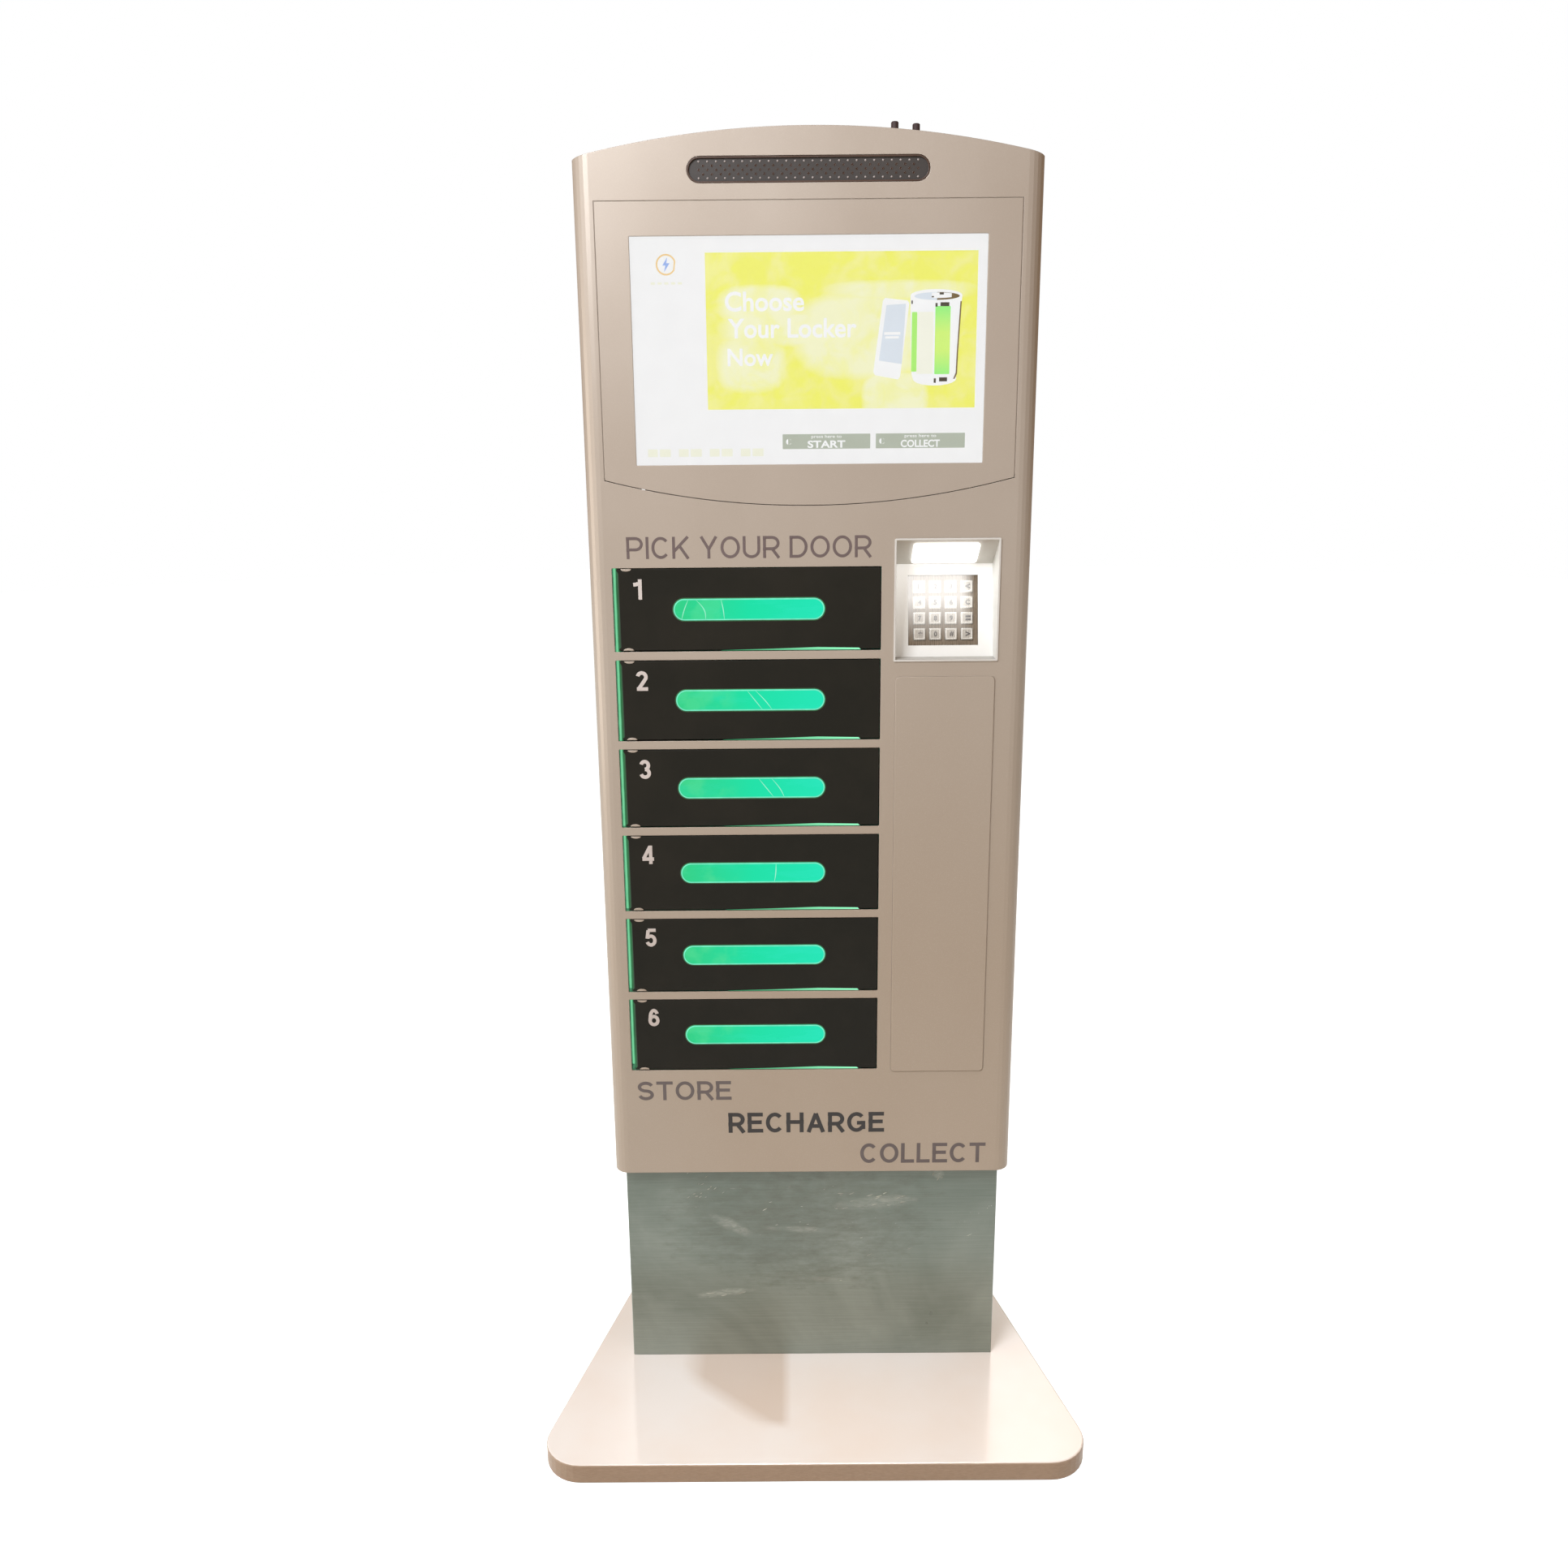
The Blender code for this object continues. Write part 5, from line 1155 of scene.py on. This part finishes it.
def makeScuffs():
    draw = random.Random(scuffLook["seed"])
    low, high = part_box("pedestal_column")
    shape = bmesh.new()
    for count, x, z, reachX, reachZ, longest, lean in scuffLook["groups"]:
        for i in range(count):
            midX = x + draw.uniform(-1, 1) * reachX
            midZ = z + draw.uniform(-1, 1) * reachZ
            half = longest * draw.uniform(0.2, 0.5)
            thick = min(0.00085, half * 0.34) * draw.uniform(0.5, 1.0)
            angle = math.radians(lean + draw.uniform(-14, 14))
            ax, az = math.cos(angle), math.sin(angle)
            outline = []
            for along, across in ((-1, 0), (-0.4, 1), (0.3, 0.7), (1, 0), (0.4, -0.8), (-0.3, -1)):
                wobble = draw.uniform(0.7, 1.2)
                outline.append((midX + along * half * ax - across * thick * az * wobble,
                                midZ + along * half * az + across * thick * ax * wobble))
            slab(shape, outline, low.y - scuffLook["proud"], low.y - 0.00001)
    pale = mouldedPlastic("filmScuff", (0.66, 0.70, 0.62), 0.6, 500.0, 0.45)
    asObject("columnScuffs", shape, pale, "cabinet")
    print("scuffs done")


# doors

doorLook = {
    "digitHeight": 0.0245,
    "digitDrop": 0.0123,        # below the door's upper edge
    "digitInset": 0.0190,       # from the door's left edge
    "capRadius": 0.0064,
    "capAside": 0.0118,         # from the door's left edge
    "capProud": 0.0007,
    "capFlat": 0.46,            # height of a cap as a share of its half width
    "oneShift": 0.0010,         # the 1 is narrow and stands a little further in
    "rimWidth": 0.0014,         # the bright rim round a window
    "slotGlow": (0.0046, 0.0058),       # the lit edge round it, inwards from the window's edge
    "digitColour": (0.66, 0.61, 0.58),
    "foldColour": (0.36, 0.95, 0.68),
    "rimColour": (0.16, 0.88, 0.58),
    "slotColour": (0.004, 0.110, 0.016),
    "edgeGlowColour": (0.006, 0.20, 0.055),
    "leakColours": ((0.01, 0.22, 0.08), (0.30, 0.86, 0.52)),
    "creaseInset": 0.0012,
    "creaseHalf": 0.00062,
    "glowLeft": 0.125,          # where the light under the door starts and ends
    "glowRight": 0.293,
    "glowHeight": 0.0026,
    "creases": {                # windows whose film has creases: (share along, lean, bow)
        1: ((0.075, 0.045, -0.004), (0.180, -0.062, 0.022), (0.325, -0.020, 0.004)),
        2: ((0.530, -0.100, 0.0), (0.590, -0.110, 0.006)),
        3: ((0.600, -0.100, 0.0), (0.680, -0.085, 0.010)),
        4: ((0.655, 0.012, 0.004),),
    },
}


def crease(shape, box, share, lean, bow):
    # A fine raised fold of film that crosses a window from top to bottom.
    left, right = box[0].x + windowLip, box[1].x - windowLip
    inset = windowLip + doorLook["creaseInset"]
    top, low = box[1].z - inset, box[0].z + inset
    steps = 12
    rings = []
    for i in range(steps + 1):
        t = i / steps
        x = left + (share - lean * (t - 0.5) + bow * math.sin(math.pi * t)) * (right - left)
        z = top + (low - top) * t
        half = doorLook["creaseHalf"] * math.sin(math.pi * (0.08 + 0.84 * t))
        rings.append([shape.verts.new((x + dx, box[0].y + dy, z)) for dx, dy in
                      ((-half, 0.00002), (0.0, -0.00022), (half, 0.00002), (0.0, 0.00006))])
    skin(shape, rings)


def makeDoorDetails():
    look = doorLook
    digitVinyl = mouldedPlastic("digitVinyl", look["digitColour"], 0.42, 500.0, 0.92)
    foldLight = plainGlow("filmFoldLight", look["foldColour"], 1.0, 50.0, 0.2)
    edgeLight = plainGlow("windowEdgeLight", look["rimColour"], 1.0, 60.0, 0.2)
    slotLight = plainGlow("slotEdgeLight", look["slotColour"], 1.0, 60.0, 0.3)
    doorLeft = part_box("door_1")[0].x
    # painted light: green light from the gap, painted on each door's left edge and fading inwards
    f = Finish("doorEdgeLight", (0.008, 0.010, 0.006), 0.45)
    inwards = f.spread(f.along(0), doorLeft + 0.0030, doorLeft + 0.0002)
    patches = f.spread(f.noise(25.0, 3.0), 0.3, 0.7, 0.5, 1.0)
    f.glow(look["edgeGlowColour"], f.times(inwards, patches))
    sideLight = f.material
    f = Finish("leakingLight", (0.02, 0.2, 0.08), 0.4)
    reach = f.spread(f.along(0), doorLeft + look["glowLeft"], doorLeft + look["glowRight"])
    f.glow(f.mix(reach, *look["leakColours"]), f.spread(reach, 0.0, 1.0, 0.5, 1.0))
    leak = f.material
    for i in range(doorCount):
        n = i + 1
        body = "locker_door_%d" % n
        low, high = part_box("door_%d" % n)
        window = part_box("window_%d" % n)
        digitLeft = low.x + look["digitInset"]
        if n == 1:
            digitLeft += look["oneShift"]
        top = high.z - look["digitDrop"]
        strokeWords("digit%d" % n, str(n), digitLeft, None, top - look["digitHeight"], top, face,
                    0.00015, digitVinyl, body, "bold")
        caps = bmesh.new()
        for edge, start, end in ((high.z, 180, 360), (low.z, 0, 180)):
            centre = (low.x + look["capAside"], edge)
            outline = [(x, edge + (z - edge) * look["capFlat"])
                       for x, z in arcPoints(centre, look["capRadius"], start, end, 12)]
            slab(caps, outline, face - look["capProud"], face + 0.0002)
        asObject("hingeCaps%d" % n, caps, paint, body, smoothAngle=40, edge=0.0003)
        outer = pillInside(window, windowLip)
        inner = pillInside(window, windowLip + look["rimWidth"])
        rim = ringSlab(bmesh.new(), outer, inner, window[0].y - 0.0001, window[0].y + 0.0004)
        asObject("windowRim%d" % n, rim, edgeLight, body)
        folds = look["creases"].get(n)
        if folds:
            shape = bmesh.new()
            for fold in folds:
                crease(shape, window, *fold)
            asObject("filmCreases%d" % n, shape, foldLight, body, smoothAngle=50)
        outer, inner = (pillInside(window, inset) for inset in look["slotGlow"])
        slotGlow = ringSlab(bmesh.new(), outer, inner, face - 0.00012, face + 0.0002)
        asObject("slotGlow%d" % n, slotGlow, slotLight, body)
        outline = [(low.x + 0.0002, low.z + 0.002), (low.x + 0.0030, low.z + 0.004),
                   (low.x + 0.0026, high.z - 0.006), (low.x + 0.0002, high.z - 0.002)]
        plate("edgeGlow%d" % n, outline, face - 0.00008, face + 0.0002, sideLight, body)
        # light that leaks out under the door, thicker towards the lock
        x0, x1 = low.x + look["glowLeft"], low.x + look["glowRight"]
        tall = look["glowHeight"]
        wedge = [(x0, low.z - 0.0007), (x1 + 0.002, low.z - 0.0007), (x1, low.z + tall * 0.55),
                 (x0 + 0.7 * (x1 - x0), low.z + tall), (x0 + 0.35 * (x1 - x0), low.z + tall * 0.35),
                 (x0, low.z - 0.0004)]
        plate("doorLeak%d" % n, wedge, face - 0.0001, face + 0.0003, leak, body)
    print("doors done")


# keypad

keyLook = {
    "legends": ("1", "2", "3", "<", "4", "5", "6", "C", "7", "8", "9", "=", "*", "0", "#", ">"),
    "legendHeight": 0.0062,
    "legendColour": (0.10, 0.09, 0.085),
    "corner": 0.0012,
    "rimWidth": 0.0016,
    "rimProud": 0.0005,
    "rimColour": (0.86, 0.85, 0.80),
}


def makeKeypadDetails():
    joints = {j["name"]: j for j in frame["joints"]}
    inward = Vector(joints["key_row1_col1_press"]["axis"]).normalized()
    right = Vector((1, 0, 0))
    up = right.cross(inward)
    rimMetal = washedMetal("keyRimLight", keyLook["rimColour"], 0.3)
    legendInk = washedMetal("legendInk", keyLook["legendColour"], 0.5)
    turn = Matrix((right, inward, up)).transposed().to_4x4()
    for i, name in enumerate(keyNames):
        verts = [v.co for v in frame["nodes"][name].data.vertices]
        middle = sum(verts, Vector()) / len(verts)
        front = min((v - middle).dot(inward) for v in verts)
        flat = [v for v in verts if (v - middle).dot(inward) < front + 1e-5]
        half = max((v - middle).dot(right) for v in flat)
        place = Matrix.Translation(middle + inward * front) @ turn
        body = name + "_button"
        outer, inner = (roundedBox(-reach, reach, -reach, reach, keyLook["corner"])
                        for reach in (half, half - keyLook["rimWidth"]))
        rim = ringSlab(bmesh.new(), outer, inner, -keyLook["rimProud"], 0.00002)
        bmesh.ops.transform(rim, matrix=place, verts=rim.verts)
        asObject("keyRim%d" % (i + 1), rim, rimMetal, body, edge=0.0003)
        tall = keyLook["legendHeight"]
        lettering("keyLegend%d" % (i + 1), keyLook["legends"][i], -tall * 0.28, None, -tall / 2,
                  tall / 2, 0.0, 0.00012, legendInk, body, 0.03, place=place)
    print("keypad done")


# back of the cabinet

rearLook = {
    "louvreRows": 6,
    "louvrePitch": 0.016,
    "louvreTop": 0.0797,        # the first slot, below the door's upper edge
    "louvreAside": 0.0825,
    "louvreHalf": 0.058,
    "hoodProud": 0.0024,
    "screwRadius": 0.0034,
    "screwProud": 0.0016,
    "screwRows": (0.352, 0.600, 0.850, 1.100, 1.350, 1.535),
    "screwInset": 0.0130,
    "plate": (-0.205, -0.115, 0.360, 0.410),        # left, right, low, high
    "plateRows": 5,
    "rivet": ((0.0017, 0.0), (0.0016, 0.0004), (0.0009, 0.0008)),   # radius and distance
    "cableHole": 0.020,         # radius
    "grommet": (                # its section: outwards from the hole's edge and back from the steel
        (0.0028, 0.0003), (0.0028, 0.0018), (0.0010, 0.0026), (-0.0012, 0.0020),
        (-0.0014, -0.0036), (-0.0004, -0.0036), (-0.0003, 0.0003)),
}


def screwHead(shape, centre, radius, proud):
    # A pan head with a round recess that faces the back.
    rim = radius * 0.72
    head = [(radius, 0.0), (radius, proud * 0.45), (radius * 0.90, proud * 0.80), (rim, proud),
            (rim * 0.60, proud), (rim * 0.35, proud * 0.45)]
    turnedShape(shape, head, centre, (0, 1, 0), 18)


def makeRear():
    look = rearLook
    low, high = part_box("rear_door")
    back = high.y
    hoods = bmesh.new()
    proud = look["hoodProud"]
    for row in range(look["louvreRows"]):
        z = high.z - look["louvreTop"] - row * look["louvrePitch"]
        profile = ((0.0001, 0.0052), (proud, 0.0030), (proud, -0.0004), (proud - 0.0007, -0.0004),
                   (proud - 0.0007, 0.0024), (0.0001, 0.0040))
        for side in (-1, 1):
            middle = side * look["louvreAside"]
            rings = []
            for share in (-1.0, -0.94, -0.80, 0.0, 0.80, 0.94, 1.0):
                rise = 1.0 if abs(share) < 0.9 else (0.62 if abs(share) < 0.97 else 0.12)
                x = middle + share * look["louvreHalf"]
                rings.append([hoods.verts.new((x, back + y * rise, z + dz)) for y, dz in profile])
            skin(hoods, rings)
    asObject("louvreHoods", hoods, paint, "service_door", smoothAngle=35)

    screws = bmesh.new()
    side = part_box("cabinet_shell")[1].x - look["screwInset"]
    for z in look["screwRows"]:
        for x in (-side, side):
            screwHead(screws, (x, back + 0.0001, z), look["screwRadius"], look["screwProud"])
    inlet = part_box("power_inlet")
    middle = (inlet[0].z + inlet[1].z) / 2
    for x in (inlet[0].x + 0.0040, inlet[1].x - 0.0040):
        screwHead(screws, (x, inlet[1].y, middle), 0.0022, 0.0007)
    asObject("rearScrews", screws, boltMetal, "cabinet", smoothAngle=40)

    x0, x1, z0, z1 = look["plate"]
    label = slab(bmesh.new(), roundedBox(x0, x1, z0, z1, 0.003), back + 0.0001, back + 0.0008)
    asObject("ratingPlate", label, supplyMetal, "cabinet", edge=0.0002)
    fields = bmesh.new()
    for i in range(look["plateRows"]):
        z = z1 - 0.010 - i * 0.0072
        for left, right in ((x0 + 0.008, x0 + 0.030), (x0 + 0.034, x1 - 0.008 - (i % 3) * 0.010)):
            slab(fields, roundedBox(left, right, z - 0.0014, z + 0.0014, 0.0004, 2), back + 0.00078,
                 back + 0.00090)
    asObject("ratingFields", fields, blackPlastic, "cabinet")
    rivets = bmesh.new()
    for x in (x0 + 0.004, x1 - 0.004):
        for z in (z0 + 0.004, z1 - 0.004):
            turnedShape(rivets, look["rivet"], (x, back + 0.0008, z), (0, 1, 0), 14)
    asObject("plateRivets", rivets, boltMetal, "cabinet", smoothAngle=50)

    centre = [(a + b) / 2 for a, b in zip(*openings["pedestal_cable_exit"]["box_m"])]
    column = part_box("pedestal_column")[1].y
    grommet = bmesh.new()
    rings = []
    turns = [2 * math.pi * k / 36 for k in range(36)]
    for dr, dy in look["grommet"]:
        radius = look["cableHole"] + dr
        rings.append([grommet.verts.new((centre[0] + radius * math.cos(a), column + dy,
                                         centre[2] + radius * math.sin(a))) for a in turns])
    asObject("cableGrommet", skin(grommet, rings, closed=True), rubber, "cabinet", smoothAngle=50)
    print("back done")


# inside the lockers and the rear bays

insideLook = {
    "matThick": 0.0010,
    "ribs": 22,
    "ventColumns": 15,
    "ventRows": 6,
    "ventInset": (0.018, 0.016),        # from the case's sides and from its low and high edge
    "vent": ((0.0036, 0.0), (0.0034, 0.0002), (0.0030, 0.00022)),   # radius and distance
    "portWidths": (0.018, 0.018, 0.013, 0.013, 0.026, 0.010),
    "boardSlots": 7,
    "monitorSlots": 9,
    "screw": (0.0026, 0.0012),          # radius and height
}


def makeInside():
    look = insideLook
    mat = mouldedPlastic("lockerMat", (0.030, 0.032, 0.034), 0.75, 500.0, 0.8)
    mats = bmesh.new()
    for i in range(doorCount):
        box = openings["locker_%d" % (i + 1)]
        (x0, y0, z0), (x1, y1, _) = box["box_m"]
        x1 = min(x1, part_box("lock_1")[0].x - 0.002)
        y0, y1 = y0 + 0.010, y1 - 0.012
        thick = look["matThick"]
        count = 2 * look["ribs"]
        steps = [(y0 + (y1 - y0) * k / count, thick if (k + 1) // 2 % 2 else thick * 0.6)
                 for k in range(count + 1)]
        for (ya, ha), (yb, hb) in zip(steps, steps[1:]):
            high = max(ha, hb) if ha == hb else (ha + hb) / 2
            corners = [(x0 + 0.004, ya), (x1 - 0.004, ya), (x1 - 0.004, yb), (x0 + 0.004, yb)]
            top = [mats.verts.new((x, y, z0 + high)) for x, y in corners]
            base = [mats.verts.new((x, y, z0)) for x, y in corners]
            mats.faces.new(top)
            mats.faces.new(base)
            for k in range(4):
                j = (k + 1) % 4
                mats.faces.new((top[k], top[j], base[j], base[k]))
    asObject("lockerMats", mats, mat, "cabinet")

    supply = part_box("power_supply")
    vents = bmesh.new()
    insetX, insetZ = look["ventInset"]
    stepX = (supply[1].x - supply[0].x - 2 * insetX) / (look["ventColumns"] - 1)
    stepZ = (supply[1].z - supply[0].z - 2 * insetZ) / (look["ventRows"] - 1)
    for c in range(look["ventColumns"]):
        for r in range(look["ventRows"]):
            centre = (supply[0].x + insetX + c * stepX, supply[1].y,
                      supply[0].z + insetZ + r * stepZ)
            turnedShape(vents, look["vent"], centre, (0, 1, 0), 14)
    asObject("supplyVents", vents, blackPlastic, "cabinet", smoothAngle=40)

    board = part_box("controller_box")
    portMetal = brushedMetal("portShell", (0.55, 0.55, 0.56), 0.3, 0.9)
    shells = bmesh.new()
    mouths = bmesh.new()
    x = board[0].x + 0.016
    z = board[0].z + 0.020
    for wide in look["portWidths"]:
        slab(shells, roundedBox(x, x + wide, z, z + 0.013, 0.001), board[1].y, board[1].y + 0.0030)
        slab(mouths, roundedBox(x + 0.0016, x + wide - 0.0016, z + 0.0016, z + 0.0114, 0.0006),
             board[1].y + 0.0029, board[1].y + 0.0032)
        x += wide + 0.009
    asObject("controllerPorts", shells, portMetal, "cabinet", edge=0.0003)
    for row in range(look["boardSlots"]):
        low = board[0].z + 0.055 + row * 0.008
        slab(mouths, roundedBox(board[0].x + 0.030, board[1].x - 0.030, low, low + 0.003, 0.0015),
             board[1].y, board[1].y + 0.0002)
    asObject("controllerSlots", mouths, rubber, "cabinet")
    screws = bmesh.new()
    for box in (board, supply):
        for x in (box[0].x + 0.006, box[1].x - 0.006):
            for z in (box[0].z + 0.006, box[1].z - 0.006):
                screwHead(screws, (x, box[1].y, z), *look["screw"])
    asObject("caseScrews", screws, boltMetal, "cabinet", smoothAngle=40)

    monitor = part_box("lcd_monitor")
    slots = bmesh.new()
    for row in range(look["monitorSlots"]):
        low = monitor[1].z - 0.075 - row * 0.010
        slab(slots, roundedBox(-0.090, 0.090, low, low + 0.004, 0.002), monitor[1].y,
             monitor[1].y + 0.0002)
    asObject("monitorSlots", slots, rubber, "cabinet")
    print("inside done")


makeSpeakerStrip()
makeScreenPicture()
makeFrontWords()
makeDoorDetails()
makeKeypadDetails()
makeSeams()
makeScuffs()
makeRear()
makeInside()


# floor

def makeFloor():
    shape = slab(bmesh.new(), arcPoints((0, 0), studio["floorReach"], 0, 354.375, 63), 0, 0.02)
    bmesh.ops.transform(shape, matrix=Matrix.Rotation(math.radians(90), 4, "X"), verts=shape.verts)
    bmesh.ops.recalc_face_normals(shape, faces=shape.faces)
    mesh = bpy.data.meshes.new("paleFloor")
    shape.to_mesh(mesh)
    shape.free()
    top = max(v.co.z for v in mesh.vertices)
    mesh.transform(Matrix.Translation((0, 0, cadBox[0].z - top - 0.0002)))
    floor = bpy.data.objects.new("paleFloor", mesh)
    bpy.context.collection.objects.link(floor)
    f = Finish("paleFloor", studio["floorColour"], 0.6)
    f.put("Roughness", f.spread(f.noise(4.0, 3.0), 0.3, 0.7, 0.55, 0.68))
    f.glow(studio["floorGlowColour"], studio["floorGlow"])
    floor.visible_diffuse = False
    mesh.materials.append(f.material)


makeFloor()
print("floor done")
